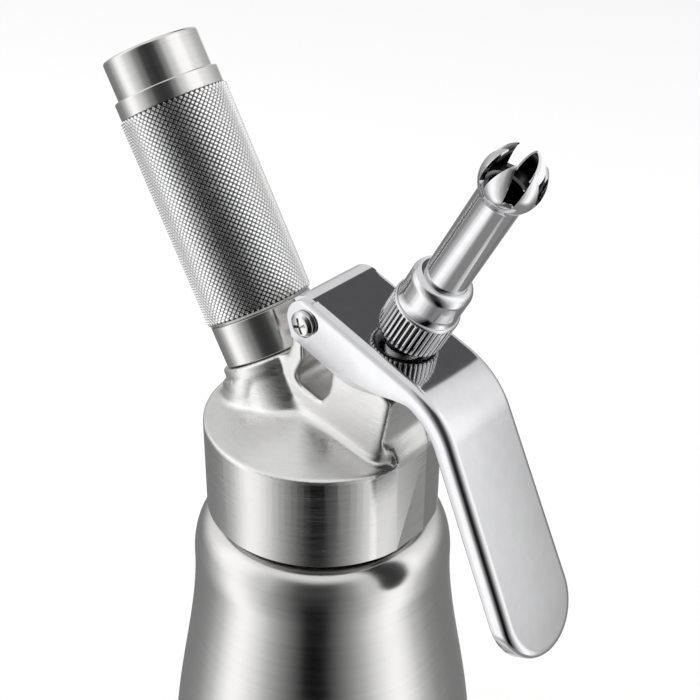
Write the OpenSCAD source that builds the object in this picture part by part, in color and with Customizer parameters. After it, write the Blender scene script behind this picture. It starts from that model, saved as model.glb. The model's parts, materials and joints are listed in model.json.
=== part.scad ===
// Whipped cream dispenser: pressure bottle, cast head with a sprung lever valve,
// a charger holder on an inclined inlet and a slotted tulip nozzle.
// Millimetres. The origin is the middle of the bottle's underside, +Z is up,
// the lever and the nozzle lean toward +X and the charger holder leans toward -X.

/* [Bottle] */
// Largest outer radius of the bottle
bottle_r = 44; // [41:0.5:50]
// Outer radius of the bottle at its shoulder
shoulder_r = 35.1; // [33:0.1:38]
// Height of the rounded shoulder
shoulder_h = 13.5; // [9:0.5:18]
// Height over which the bottle widens below its shoulder
taper_h = 74; // [50:1:95]
// Gap between the collar and the bottle's shoulder
shoulder_gap = 2.4; // [1.5:0.1:4]
// Wall thickness of the bottle
bottle_wall = 1.2; // [0.8:0.1:2]
// Radius of the rounded edge at the foot
foot_edge_r = 6; // [3:0.5:9]
// Depth of the pressed recess under the bottle
foot_recess = 2; // [1:0.5:4]
// Height of the collar's lower edge above the table
collar_z = 160; // [140:1:190]
// Outer radius of the threaded neck ring
neck_r = 26.5; // [25:0.1:27.5]
// Wall thickness of the neck ring
neck_wall = 3.4; // [2.5:0.1:4.5]
// Height of the neck ring's rim above the collar's lower edge
neck_h = 18.4; // [15:0.2:20]

/* [Head] */
// Outer radius of the head's collar
collar_r = 31; // [30.5:0.1:34]
// Height of the collar
collar_h = 26.5; // [25:0.5:30]
// Rise of the dome from the collar's edge to its middle
dome_rise = 8.5; // [8:0.5:12]
// Thickness of the head gasket
gasket_t = 2.4; // [1.5:0.1:3]
// Depth of the dish in the roof of the head's cavity
dish_depth = 2; // [1:0.5:3]
// Distance of the flat on the collar from the middle
flat_x = 29.9; // [29.5:0.1:30.4]
// Turn of the two facets beside the flat
facet_turn = 12.5; // [11:0.5:14]
// Half width of the web between the two bosses
web_half = 10; // [9:0.1:10.2]
// Radius of the web's rounded upright corners
web_corner_r = 3.2; // [2:0.2:4]
// Half height of the window through the web
window_half_h = 4.6; // [3:0.1:5]

/* [Charger inlet and holder] */
// Lean of the charger holder from upright
holder_tilt = 30.5; // [27:0.5:32]
// Distance from the middle to where the holder's axis crosses the collar's top
holder_foot = 8; // [7:0.5:10]
// Radius of the inlet boss at its rim
inlet_boss_r = 15.2; // [14.6:0.1:16]
// Length of the inlet boss above the collar's top, along its axis
inlet_boss_h = 15.6; // [14.5:0.1:17]
// Radius of the holder's smooth lower band
band_r = 13.8; // [13.4:0.1:14.4]
// Length of the lower band
band_h = 10.9; // [9.5:0.1:12]
// Radius of the knurled grip
grip_r = 14.4; // [14:0.1:16]
// Length of the knurled grip
grip_h = 57; // [50:0.5:62]
// Radius of the smooth band above the knurl
grip_band_r = 13.9; // [13.5:0.1:14.4]
// Length of the smooth band above the knurl
grip_band_h = 4.3; // [2:0.1:8]
// Radius of the holder's tube and cap
cap_r = 12.7; // [12:0.1:13.2]
// Length of the cap that shows above the grip
cap_h = 10.4; // [9:0.1:14]
// Radius of the holder's bore
charger_bore_r = 9.6; // [9.4:0.05:10]
// Radius of the gas charger
charger_r = 9.1; // [8.6:0.05:9.2]
// Length of the gas charger
charger_l = 65.5; // [62:0.5:66]
// Outer radius of the threaded inlet stub
stub_r = 11.3; // [10.8:0.05:11.5]
// Length of the stub above the inlet boss
stub_h = 9.4; // [8.8:0.1:10]

/* [Valve and nozzle] */
// Lean of the valve and nozzle from upright
valve_tilt = 29; // [27:0.5:31]
// Distance from the middle to where the valve's axis crosses the collar's top
valve_foot = 8.2; // [7:0.2:9]
// Height of the valve boss above the collar's top, along its axis
valve_boss_h = 27.6; // [26.6:0.1:27.9]
// Radius of the valve stem in its guide
stem_r = 4; // [3.6:0.05:4.2]
// Radius of the stem's threaded end
stem_thread_r = 4.5; // [4.3:0.05:4.8]
// Radius of the stem's flange below the lever
flange_r = 8; // [7.6:0.1:8.4]
// Thickness of the stem's flange
flange_t = 2; // [1.5:0.1:2.2]
// Radius of the spring pocket in the valve boss
pocket_r = 6; // [5.8:0.05:6.2]
// Depth of the spring pocket
pocket_h = 8; // [7:0.2:8.4]
// Wire radius of the valve spring
spring_wire_r = 0.6; // [0.4:0.05:0.7]
// Number of turns of the valve spring
spring_turns = 5; // [4:1:6]
// Radius of the nozzle's ribbed collar
rib_collar_r = 8.33; // [8:0.1:9]
// Length of the ribbed collar
rib_collar_h = 10.3; // [9:0.1:12]
// Number of ribs round the collar
rib_count = 40; // [24:2:48]
// Radius of the nozzle adapter's smooth body
adapter_r = 7.63; // [7.2:0.05:7.9]
// Length of the adapter's smooth body with its shoulder
adapter_h = 9.5; // [8:0.1:12]
// Radius of the nozzle's tube
tube_r = 5.33; // [5.1:0.01:5.8]
// Radius of the nozzle's bore
tube_bore_r = 4.3; // [3.9:0.05:4.5]
// Distance from the adapter's shoulder to the middle of the tulip
tulip_rise = 31.6; // [26:0.2:36]
// Outer radius of the tulip
tulip_r = 7.24; // [6.8:0.02:7.8]
// Least gap between the ribbed collar and the lever
collar_gap = 0.95; // [0.8:0.05:1.5]
// Number of petals on the tulip
petals = 8; // [6:2:10]

/* [Lever] */
// Outer width of the lever at its hinge
lever_w = 25; // [24.9:0.1:26]
// Thickness of the lever's wall
lever_t = 2.1; // [1.8:0.1:2.2]
// Outer radius of the lever's folded long edges
fold_r = 2.4; // [2.3:0.1:3]
// Outer radius of the curl round the hinge
curl_r = 6.5; // [6.3:0.1:6.9]
// Radius of the ears at the hinge screws
ear_r = 5.7; // [5.3:0.1:6.1]
// Slope of the lever's top plate
plate_slope = 20.2; // [19:0.2:21]
// Length of the straight top plate from the curl to the bend
plate_l = 31.2; // [29.6:0.2:33]
// Outer radius of the lever's bend
bend_r = 23; // [20:0.5:28]
// Lean of the straight paddle from upright
paddle_lean = 24.8; // [20:0.2:26]
// Length of the paddle from the bend to the middle of its round end
paddle_l = 46.2; // [40:0.2:54]
// Half width of the paddle at its round end
paddle_end_r = 13.4; // [12.6:0.1:15]
// Depth of the rim round the paddle
rim_h = 5.4; // [4:0.2:7]
// Radius of the hinge barrel
barrel_r = 2.6; // [2.4:0.05:2.8]
// Radius of the hinge screws' heads
screw_head_r = 3.4; // [3.1:0.1:3.8]

/* [Fits] */
// Radial clearance of turning and sliding fits
run_gap = 0.05; // [0.03:0.01:0.08]
// Radial clearance in the threaded joints, whose threads are left plain
thread_gap = 0.25; // [0.2:0.05:0.3]
// Clearance between pieces that move past each other
free_gap = 0.3; // [0.25:0.05:0.4]
// Clearance between pieces that are fitted tight
seat_gap = 0.01; // [0.01:0.01:0.02]

/* [Hidden] */
fine = 96;
round_n = 48;
eps = 0.01;

// ---- Head cavity and neck -------------------------------------------------------
cavity_r = neck_r + thread_gap;
cavity_h = neck_h + gasket_t + 0.1;
neck_inner_r = neck_r - neck_wall;
dish_r = neck_inner_r - 4;
dome_slope = dome_rise / collar_r;

// ---- Valve axis: distances are measured from the collar's top, along the axis ----
valve_travel = 3.1;
flange_top = valve_boss_h + 0.7 + valve_travel + flange_t;
flange_low = flange_top - flange_t;
pocket_floor = valve_boss_h - pocket_h;
seat_h = 4;
chamber_r = 6.6;
stem_bore_r = 2;
stem_neck_r = 2.9;
stem_tail_r = 2.2;
stem_tail_low = -1.6;
ring_wire_r = 0.5;
ring_h = 13.6;
ring_land = 0.04;
seal_t = 2.4;
spring_clear = 0.35;

// ---- Lever: its hinge lies in the plane of symmetry, beside the valve axis --------
hinge_arm = 18.75;
hinge_v = 28.05;
hinge_x = valve_foot + hinge_v * sin(valve_tilt) - hinge_arm * cos(valve_tilt);
hinge_z = collar_h + hinge_v * cos(valve_tilt) + hinge_arm * sin(valve_tilt);
lever_half = lever_w / 2;
inner_half = lever_half - lever_t;
curl_inner_r = curl_r - lever_t;
post_r = curl_inner_r - free_gap;
head_gap = 0.15;
barrel_half = lever_half + head_gap;
bend_angle = 90 - plate_slope - paddle_lean;
// the paddle's straight edges run tangent into its round end
paddle_taper = asin(paddle_end_r / norm([lever_half, paddle_l])) - atan2(lever_half, paddle_l);
edge_l = paddle_l * cos(paddle_taper) - lever_half * sin(paddle_taper);
seam_inset = 0.03;
lug_r = 1.2;
lug_low_y = stem_thread_r + 0.5;
lug_high_y = flange_r - 0.6;
lug_gap = 0.15;
lever_hole_r = stem_thread_r + 0.7;
lever_hole_slot = 1.6;

// ---- Where the nozzle starts: just clear of the lever's plate ----------------------
// the plate's outer face is curl_r away from the hinge, and meets the valve axis here
plate_skew = valve_tilt - plate_slope;
plate_out_v = hinge_v + curl_r / cos(plate_skew) + hinge_arm * tan(plate_skew);
collar_start = plate_out_v + rib_collar_r * tan(plate_skew) + collar_gap;
collar_end = collar_start + rib_collar_h;
adapter_end = collar_end + adapter_h;
stem_end = collar_end - 0.6;
tulip_v = adapter_end + tulip_rise;
tulip_stretch = 1.18;
tip_share = 0.76;

// ---- Holder axis: distances are measured from the collar's top, along the axis -----
stub_top = inlet_boss_h + stub_h;
stub_root = 2;
stub_root_r = 8.5;
stub_bore_r = 4;
stub_cup_r = 5.6;
cup_floor = stub_top - 4;
band_low = inlet_boss_h + free_gap;
band_top = band_low + band_h;
grip_top = band_top + grip_h + grip_band_h;
cap_top = grip_top + cap_h;
charger_low = stub_top - 1;
charger_top = charger_low + charger_l;
charger_neck_r = 4.4;
charger_wall = 1.6;
gas_bore_r = 2.5;
pin_base_low = cup_floor - 4;
vent_r = 0.8;

// ---- Helpers ----------------------------------------------------------------------
module lift_head() {
    translate([0, 0, collar_z]) children();
}

module on_valve(v = 0) {
    translate([valve_foot, 0, collar_z + collar_h])
        rotate([0, valve_tilt, 0])
            translate([0, 0, v]) children();
}

module on_holder(h = 0) {
    translate([-holder_foot, 0, collar_z + collar_h])
        rotate([0, -holder_tilt, 0])
            translate([0, 0, h]) children();
}

// Lever frame: origin on the hinge, X along the top plate, Z square to it
module on_lever() {
    translate([hinge_x, 0, collar_z + hinge_z])
        rotate([0, plate_slope, 0]) children();
}

module tube(r_out, r_in, h) {
    difference() {
        cylinder(h = h, r = r_out, $fn = fine);
        translate([0, 0, -1]) cylinder(h = h + 2, r = r_in, $fn = fine);
    }
}

module torus(r_major, r_minor) {
    rotate_extrude($fn = fine)
        translate([r_major, 0]) circle(r = r_minor, $fn = 24);
}

// Points of an arc about c from angle a0 to a1
function arc(c, r, a0, a1, n) = [for (i = [0:n]) c + r * [cos(a0 + (a1 - a0) * i / n), sin(a0 + (a1 - a0) * i / n)]];

// Unit normal, to the left of the way from a to b
function left_normal(a, b) = [-(b[1] - a[1]), b[0] - a[0]] / norm(b - a);

// A line of points moved sideways by t, to its left
function beside(p, t) = [for (i = [0:len(p) - 1])
    p[i] + t * left_normal(p[max(i - 1, 0)], p[min(i + 1, len(p) - 1)])];

// A round wire wound into a helix that stands on z = 0, with closed flat-lying ends
function coil_z(a, turns, wire_r, height) =
    let(t = a / 360, rest = turns - 2, open = (height - 6 * wire_r) / rest)
    wire_r + (t <= 1 ? t * 2 * wire_r
        : t >= turns - 1 ? height - 4 * wire_r + (t - turns + 1) * 2 * wire_r
        : 2 * wire_r + (t - 1) * open);

module coil(r, wire_r, turns, height, steps = 16, sides = 6) {
    n = steps * turns;
    rings = [for (i = [0:n]) let(a = 360 * i / steps)
        [for (k = [0:sides - 1]) let(q = 360 * k / sides)
            [(r + wire_r * cos(q)) * cos(a), (r + wire_r * cos(q)) * sin(a),
             coil_z(a, turns, wire_r, height) + wire_r * sin(q)]]];
    points = [for (ring = rings) for (p = ring) p];
    skin = [for (i = [0:n - 1]) for (k = [0:sides - 1]) let(a = i * sides + k, b = i * sides + (k + 1) % sides)
        [[a, a + sides, b + sides], [a, b + sides, b]]];
    faces = concat([for (pair = skin) for (f = pair) f],
        [[for (k = [0:sides - 1]) k]],
        [[for (k = [0:sides - 1]) n * sides + sides - 1 - k]]);
    polyhedron(points = points, faces = faces, convexity = 8);
}

// ---- Bottle -----------------------------------------------------------------------
// Outer line of the bottle, from the foot up to the neck
function bottle_line() = let(
        taper_top = collar_z - shoulder_gap - shoulder_h,
        taper_low = taper_top - taper_h,
        lip_r = neck_r + 0.6)
    concat(
        arc([bottle_r - foot_edge_r, foot_edge_r], foot_edge_r, -90, 0, 8),
        [for (i = [0:18]) let(t = i / 18, s = 3 * t * t - 2 * t * t * t)
            [bottle_r + (shoulder_r - bottle_r) * s, taper_low + taper_h * t]],
        [for (i = [1:10]) let(a = 9 * i)
            [lip_r + (shoulder_r - lip_r) * cos(a), taper_top + shoulder_h * sin(a)]],
        [[neck_r + seat_gap, collar_z - shoulder_gap]]);

module bottle() {
    line = bottle_line();
    foot_in = bottle_r - foot_edge_r - 4;
    inside = beside(line, bottle_wall);
    floor_line = [[0, foot_recess], [foot_in - 1.5, foot_recess], [foot_in, 0]];
    floor_inside = [[foot_in + 1, bottle_wall], [foot_in - 1, foot_recess + bottle_wall], [0, foot_recess + bottle_wall]];
    color("silver")
        rotate_extrude($fn = fine)
            polygon(concat(floor_line, line,
                [for (i = [len(inside) - 1:-1:0]) inside[i]], floor_inside));
}

// Ring welded into the bottle's mouth, with the plain band that carries the thread
module neck_ring() {
    low = -shoulder_gap - bottle_wall - seat_gap;
    color("gainsboro")
        lift_head()
            rotate_extrude($fn = fine)
                polygon([
                    [neck_inner_r, low - 2], [neck_r - 0.5, low - 2], [neck_r + 1.6, low - 1],
                    [neck_r + 1.6, low - 0.25], [neck_r + 0.4, low], [neck_r, low], [neck_r, neck_h - 0.6],
                    [neck_r - 0.6, neck_h], [neck_inner_r + 0.6, neck_h], [neck_inner_r, neck_h - 0.6]]);
}

// ---- Head -------------------------------------------------------------------------
// Side outline of the web: post at the hinge, valve boss, and its nose down to the flat
function valve_point(a, v) = [valve_foot + v * sin(valve_tilt) + a * cos(valve_tilt),
    collar_h + v * cos(valve_tilt) - a * sin(valve_tilt)];

function holder_point(a, h) = [-holder_foot - h * sin(holder_tilt) + a * cos(holder_tilt),
    collar_h + h * cos(holder_tilt) + a * sin(holder_tilt)];

module web_outline() {
    post_left = hinge_x - ear_r - 1.3;
    shelf = inlet_boss_h - 0.35;
    rim_right = holder_point(inlet_boss_r - 0.3, shelf);
    top_left = valve_point(-hinge_arm + post_r + 1.2, valve_boss_h);
    top_right = valve_point(9.4, valve_boss_h);
    polygon([
        holder_point(inlet_boss_r - 6, collar_h / 6), holder_point(inlet_boss_r - 6, shelf), rim_right,
        rim_right + [0.5, 1.6], [post_left, hinge_z - 9], [post_left, hinge_z - 6.6],
        [hinge_x - post_r * 0.94, hinge_z - 1.6],
        [hinge_x, hinge_z], [hinge_x + post_r * 0.9, hinge_z - 1.8],
        top_left, top_right, top_right + [-2.5, -12.8], [flat_x, collar_h + 1], [flat_x, collar_h - 4],
        [post_left, collar_h - 4]]);
    translate([hinge_x, hinge_z]) circle(r = post_r, $fn = round_n);
}

// Window through the web, between the two bosses
module window_outline() {
    mid = [5.2, collar_h + 18.2];
    low = window_half_h + 2.4;
    polygon([
        mid + [-3.3, 7.4], mid + [-3.1, 2.7], mid + [-5.1, -1.6], mid + [-5.4, -2.7],
        mid + [-5, -3.9], mid + [-3.8, -5], mid + [2.7, -low], mid + [5.3, -3.5], mid + [6, -0.6],
        mid + [6.3, 2.2], mid + [6.2, 4], mid + [3.6, 5.6]]);
}

module web() {
    r = web_corner_r;
    corner_x = flat_x - 5.6;
    lean = 11.2;
    intersection() {
        translate([0, web_half, 0])
            rotate([90, 0, 0])
                linear_extrude(height = 2 * web_half) web_outline();
        union() {
            translate([-20, -web_half, 0]) cube([18.5 + corner_x, 2 * web_half, 80]);
            // upright rounded corners of the nose, leaning with its end face
            for (side = [-1, 1])
                translate([corner_x, side * (web_half - r - 2 * seam_inset), collar_h + 2])
                    rotate([0, lean, 0]) cylinder(h = 44, r = r, center = true, $fn = round_n);
            translate([corner_x, 0, collar_h + 2])
                rotate([0, lean, 0]) cube([4 * r, 2 * (web_half - r), 44], center = true);
            translate([corner_x - 6, 0, collar_h + 2])
                rotate([0, lean, 0]) cube([12, 2 * (web_half - seam_inset), 44], center = true);
        }
    }
}

module inlet_boss() {
    r = inlet_boss_r;
    h = inlet_boss_h;
    rotate_extrude($fn = fine)
        polygon([[0, -4], [r - 0.5, -4], [r - 0.5, h - 4.4], [r, h - 2.8], [r, h - 0.4], [r - 0.4, h], [0, h]]);
}

// Upright foot of the inlet boss, which stands below the boss's rim
module inlet_foot() {
    intersection() {
        lift_head()
            translate([holder_point(0, inlet_boss_h)[0], 0, collar_h - 4])
                linear_extrude(height = 30)
                    scale([cos(holder_tilt), 1]) circle(r = inlet_boss_r + 0.3, $fn = round_n);
        on_holder(inlet_boss_h - 43) cylinder(h = 40, r = 40, $fn = round_n);
    }
}

module head_solid() {
    lift_head() {
        rotate_extrude($fn = fine)
            polygon([
                [0, 0], [collar_r - 0.5, 0], [collar_r, 0.5], [collar_r, collar_h - 0.5],
                [collar_r - 0.15, collar_h - 0.1], [collar_r - 0.5, collar_h + 0.5 * dome_slope],
                [0, collar_h + dome_rise]]);
        web();
    }
    intersection() {
        union() {
            on_holder() inlet_boss();
            inlet_foot();
        }
        lift_head() translate([0, 0, collar_h - 6]) cylinder(h = 60, r = collar_r - 1, $fn = fine);
    }
}

module head() {
    color("gainsboro")
        difference() {
            head_solid();
            // cavity for the bottle's neck, with a dish in its roof
            lift_head() {
                translate([0, 0, -1]) cylinder(h = cavity_h + 1, r = cavity_r, $fn = fine);
                translate([0, 0, cavity_h - eps]) cylinder(h = dish_depth + eps, r = dish_r, $fn = fine);
                // flat ground on the collar below the lever, with a facet on either side
                for (turn = [-facet_turn, 0, facet_turn])
                    rotate([0, 0, turn])
                        translate([turn == 0 ? flat_x : flat_x + 0.48, -20, -1]) cube([10, 40, collar_h + 1.4]);
                // window
                translate([0, 30, 0]) rotate([90, 0, 0]) linear_extrude(height = 60) window_outline();
                // bore of the hinge barrel
                translate([hinge_x, 30, hinge_z]) rotate([90, 0, 0])
                    cylinder(h = 60, r = barrel_r + seat_gap, $fn = round_n);
            }
            // valve: spring pocket, guide and seal chamber
            on_valve(pocket_floor) cylinder(h = pocket_h + 20, r = pocket_r, $fn = round_n);
            on_valve(seat_h - 2) cylinder(h = pocket_floor - seat_h + 3, r = stem_r + run_gap, $fn = round_n);
            intersection() {
                on_valve(seat_h - 20) cylinder(h = 20, r = chamber_r, $fn = round_n);
                lift_head() translate([0, 0, cavity_h - 1]) cylinder(h = 14, r = dish_r, $fn = fine);
            }
            // inlet: seat of the stub and gas passage
            on_holder(stub_root) cylinder(h = 40, r = stub_root_r + seat_gap, $fn = round_n);
            intersection() {
                on_holder(stub_root - 20) cylinder(h = 21, r = gas_bore_r, $fn = round_n);
                lift_head() translate([0, 0, cavity_h - 1]) cylinder(h = 20, r = dish_r, $fn = fine);
            }
        }
}

module head_gasket() {
    color("dimgray")
        lift_head()
            translate([0, 0, cavity_h - gasket_t])
                tube(neck_r, dish_r + 1, gasket_t);
}

// ---- Charger inlet ----------------------------------------------------------------
module inlet_stub() {
    color("gainsboro")
        on_holder()
            difference() {
                union() {
                    translate([0, 0, stub_root + seat_gap]) cylinder(h = inlet_boss_h - stub_root, r = stub_root_r, $fn = fine);
                    translate([0, 0, inlet_boss_h + seat_gap]) cylinder(h = stub_h - 0.8 - seat_gap, r = stub_r, $fn = fine);
                    translate([0, 0, stub_top - 0.8 - eps]) cylinder(h = 0.8 + eps, r1 = stub_r, r2 = stub_r - 0.8, $fn = fine);
                }
                translate([0, 0, stub_root - 1]) cylinder(h = 40, r = stub_bore_r, $fn = fine);
                translate([0, 0, cup_floor]) cylinder(h = 40, r = stub_cup_r, $fn = fine);
            }
}

// Hollow pin that pierces the charger's seal
module piercing_pin() {
    color("silver")
        on_holder(pin_base_low)
            rotate_extrude($fn = round_n)
                polygon([
                    [0.5, 0], [stub_bore_r - seat_gap, 0], [stub_bore_r - seat_gap, 3.6],
                    [1.1, 3.6], [1.1, 7.4], [0.6, 9], [0.5, 9]]);
}

module check_plug() {
    color("dimgray")
        on_holder(pin_base_low - 4.4)
            rotate_extrude($fn = round_n)
                polygon([[0, 0], [1.6, 0], [1.6, 1.2], [3.2, 1.2], [3.2, 3.2], [1.2, 4.3], [0, 4.3]]);
}

module check_spring() {
    low = stub_root + 3.2;
    color("silver")
        on_holder(low)
            coil(2.5, 0.35, 5, pin_base_low - 3.2 - low - 0.1, 12, 5);
}

module check_retainer() {
    color("silver")
        on_holder(stub_root + 0.1)
            tube(stub_bore_r - seat_gap, 1.5, 3);
}

module charger_gasket() {
    color("dimgray")
        on_holder(cup_floor + 0.05)
            tube(stub_cup_r - 0.05, 1.6, 2.6);
}

// ---- Charger holder ---------------------------------------------------------------
module holder_core() {
    color("silver")
        difference() {
            on_holder()
                rotate_extrude($fn = fine)
                    polygon([
                        [0, band_low], [band_r - 0.3, band_low], [band_r, band_low + 0.3],
                        [band_r, band_top - 0.3], [band_r - 0.3, band_top], [cap_r, band_top],
                        [cap_r, cap_top - 0.8], [cap_r - 0.2, cap_top - 0.25],
                        [cap_r - 0.7, cap_top], [0, cap_top]]);
            on_holder(band_low - 1) cylinder(h = stub_top - band_low + 1 + 0.6, r = stub_r + thread_gap, $fn = fine);
            on_holder(band_low) cylinder(h = charger_top + 0.6 - band_low, r = charger_bore_r, $fn = fine);
            // vent near the rim of the cap, down into the bore
            on_holder(charger_top - 3)
                rotate([0, 0, -67])
                    translate([charger_bore_r + vent_r - 0.2, 0, 0]) cylinder(h = 30, r = vent_r, $fn = 24);
        }
}

module holder_grip() {
    color("lightgray")
        on_holder()
            rotate_extrude($fn = fine)
                polygon([
                    [cap_r + seat_gap, band_top + seat_gap], [grip_r - 0.9, band_top + seat_gap],
                    [grip_r, band_top + 0.9], [grip_r, band_top + grip_h - 0.4],
                    [grip_band_r, band_top + grip_h], [grip_band_r, grip_top - 0.4],
                    [grip_band_r - 0.4, grip_top], [cap_r + seat_gap, grip_top]]);
}

module charger() {
    r = charger_r;
    nr = charger_neck_r;
    w = charger_wall;
    l = charger_l;
    color("lightgray")
        on_holder(charger_low)
            rotate_extrude($fn = fine)
                polygon(concat(
                    [[2.2, 0], [nr, 0], [nr, 5.5]],
                    [for (i = [1:6]) let(t = i / 6, s = 3 * t * t - 2 * t * t * t) [nr + (r - nr) * s, 5.5 + 9 * t]],
                    arc([r - 8, l - 8], 8, 0, 90, 8),
                    [[0, l]],
                    [[0, l - w]],
                    [for (i = [0:8]) let(a = 90 - 90 * i / 8) [r - 8 + (8 - w) * cos(a), l - 8 + (8 - w) * sin(a)]],
                    [for (i = [6:-1:1]) let(t = i / 6, s = 3 * t * t - 2 * t * t * t) [nr - w - 0.6 + (r - nr + 0.6) * s, 6.5 + 9 * t]],
                    [[2.2, 6.5]]));
}

module charger_seal() {
    color("silver")
        on_holder(charger_low + 0.3)
            tube(2.2 - seat_gap, 1.3, 0.5);
}

// ---- Valve ------------------------------------------------------------------------
module valve_stem() {
    low = flange_low;
    color("silver")
        difference() {
            union() {
                on_valve()
                    rotate_extrude($fn = round_n)
                        polygon([
                            [0, stem_tail_low], [stem_tail_r, stem_tail_low], [stem_tail_r, seat_h - 0.2],
                            [stem_neck_r, seat_h - 0.2], [stem_neck_r, 9.8], [stem_r, 10.4],
                            [stem_r, ring_h - 1.1], [stem_r - 1, ring_h - 1.1],
                            [stem_r - 1, ring_h + 1.1], [stem_r, ring_h + 1.1],
                            [stem_r, low], [flange_r - 0.3, low], [flange_r, low + 0.3],
                            [flange_r, flange_top - 0.3], [flange_r - 0.3, flange_top],
                            [stem_thread_r, flange_top], [stem_thread_r, stem_end - 0.7],
                            [stem_thread_r - 0.7, stem_end], [0, stem_end]]);
            }
            on_valve(8) cylinder(h = stem_end, r = stem_bore_r, $fn = round_n);
            // cross holes that let the cream into the stem
            for (turn = [0, 90])
                on_valve(8.2)
                    rotate([0, 0, turn])
                        translate([-6, 0, 0]) rotate([0, 90, 0]) cylinder(h = 12, r = 1.1, $fn = 24);
        }
}

module valve_spring() {
    outer = pocket_r - spring_clear;
    color("silver")
        on_valve(pocket_floor + 0.02)
            coil(outer - spring_wire_r, spring_wire_r, spring_turns, flange_low - pocket_floor - 0.04, 18, 6);
}

module valve_o_ring() {
    color("dimgray")
        on_valve(ring_h) torus(stem_r + run_gap - ring_land - ring_wire_r, ring_wire_r);
}

module valve_seal() {
    color("dimgray")
        on_valve(seat_h - 0.2 - seat_gap - seal_t)
            tube(chamber_r - 0.9, stem_tail_r + seat_gap, seal_t);
}

module valve_nut() {
    h = seat_h - 0.2 - seal_t - stem_tail_low + 0.4;
    color("silver")
        on_valve(stem_tail_low - 0.4 - 2 * seat_gap)
            difference() {
                cylinder(h = h, r = 5, $fn = 6);
                translate([0, 0, -1]) cylinder(h = h + 2, r = stem_tail_r + seat_gap, $fn = round_n);
            }
}

// ---- Nozzle -----------------------------------------------------------------------
module nozzle_gasket() {
    color("dimgray")
        on_valve(stem_end + 0.02) tube(stem_thread_r - 0.2, stem_bore_r + 0.2, 1.2);
}

// Ribbed collar drawn as one toothed outline
function rib_line(n, r, depth) = [for (i = [0:n - 1]) for (k = [0:3])
    let(a = 360 * (i + [0, 0.22, 0.5, 0.72][k]) / n, q = k < 2 ? r : r - depth) q * [cos(a), sin(a)]];

module nozzle_adapter() {
    bore = stem_thread_r + thread_gap;
    ceiling = stem_end + 1.26;
    color("gainsboro")
        difference() {
            on_valve() {
                intersection() {
                    translate([0, 0, collar_start])
                        linear_extrude(height = rib_collar_h) polygon(rib_line(rib_count, rib_collar_r, 0.42));
                    translate([0, 0, collar_start])
                        rotate_extrude($fn = fine)
                            polygon([
                                [0, 0], [rib_collar_r - 0.5, 0], [rib_collar_r, 0.5],
                                [rib_collar_r, rib_collar_h - 0.5], [rib_collar_r - 0.5, rib_collar_h],
                                [0, rib_collar_h]]);
                }
                rotate_extrude($fn = fine)
                    polygon(concat(
                        [[0, collar_end - 1], [adapter_r, collar_end - 1]],
                        arc([adapter_r - 2.4, adapter_end - 2.4], 2.4, 0, 90, 6),
                        [[0, adapter_end]]));
            }
            on_valve(collar_start - 1) cylinder(h = ceiling - collar_start + 1, r = bore, $fn = round_n);
            on_valve(ceiling - 1) cylinder(h = 10, r = stem_bore_r + 0.6, $fn = round_n);
            on_valve(ceiling + 1.4) cylinder(h = 40, r = tube_r + seat_gap, $fn = round_n);
        }
}

// Radius of the tulip's outer wall at a height above its middle: round below, drawn out above
function tulip_out(z) = tulip_r * sqrt(1 - pow(z / (z > 0 ? tulip_r * tulip_stretch : tulip_r), 2));

module tulip_nozzle() {
    root = stem_end + 1.26 + 1.4 + seat_gap;
    neck_z = -sqrt(tulip_r * tulip_r - tube_r * tube_r);
    tip_z = tulip_r * tulip_stretch * tip_share;
    ledge_z = -2.6;
    color("silver")
        on_valve()
            difference() {
                rotate_extrude($fn = round_n)
                    polygon(concat(
                        [[tube_bore_r, root], [tube_r, root]],
                        [for (i = [0:14]) let(z = neck_z + (tip_z - neck_z) * i / 14) [tulip_out(z), tulip_v + z]],
                        [for (i = [8:-1:0]) let(z = ledge_z + (tip_z - ledge_z) * i / 8, t = i / 8)
                            [tulip_out(z) - (1.35 - 0.85 * t), tulip_v + z]],
                        [[tube_bore_r, tulip_v + ledge_z]]));
                // slots that widen toward the petals' tips
                for (i = [0:petals / 2 - 1])
                    rotate([0, 0, 360 * (i + 0.5) / petals])
                        translate([0, tulip_r + 2, 0])
                            rotate([90, 0, 0])
                                linear_extrude(height = 2 * tulip_r + 4)
                                    polygon([
                                        [-8.6 / petals, tulip_v - 0.1 * tulip_r],
                                        [8.6 / petals, tulip_v - 0.1 * tulip_r],
                                        [14.2 / petals, tulip_v + tip_z + 0.3],
                                        [-14.2 / petals, tulip_v + tip_z + 0.3]]);
            }
}

// ---- Lever ------------------------------------------------------------------------
// Cross-section of one half of the lever: a plate with a folded edge and a side wall.
// X is across the lever, Y is square to the plate, with the plate's outer face at y = 0.
// A section drawn in by inset lies wholly inside the one that it runs into.
module half_section(half, depth, reach = 1, inset = 0) {
    side = half - inset;
    fold = fold_r - inset;
    low = depth - inset;
    wall = lever_t - inset;
    difference() {
        union() {
            translate([-reach, -low]) square([side - fold + reach, low - inset]);
            translate([side - fold - eps, -low]) square([fold + eps, low - fold_r]);
            translate([side - fold, -fold_r]) circle(r = fold, $fn = 32);
        }
        translate([-reach - 1, -low - 1]) square([half - wall + reach + 1, low + 1 - wall]);
    }
}

module section(half, depth) {
    half_section(half, depth);
    mirror([1, 0]) half_section(half, depth);
}

// A point of the plane of symmetry, given beside the head, as the lever's frame has it
function to_lever(p) = let(d = p - [hinge_x, hinge_z])
    [d[0] * cos(plate_slope) - d[1] * sin(plate_slope), d[0] * sin(plate_slope) + d[1] * cos(plate_slope)];

// Lower edge of the side walls: deep over the valve, then drawn up to the paddle's rim
function wall_low(x) = let(t = max(0, min(1, (x - 14) / (plate_l - 10))), s = 3 * t * t - 2 * t * t * t)
    -ear_r - 1.2 + (curl_r - rim_h + ear_r + 1.2) * s;

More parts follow.
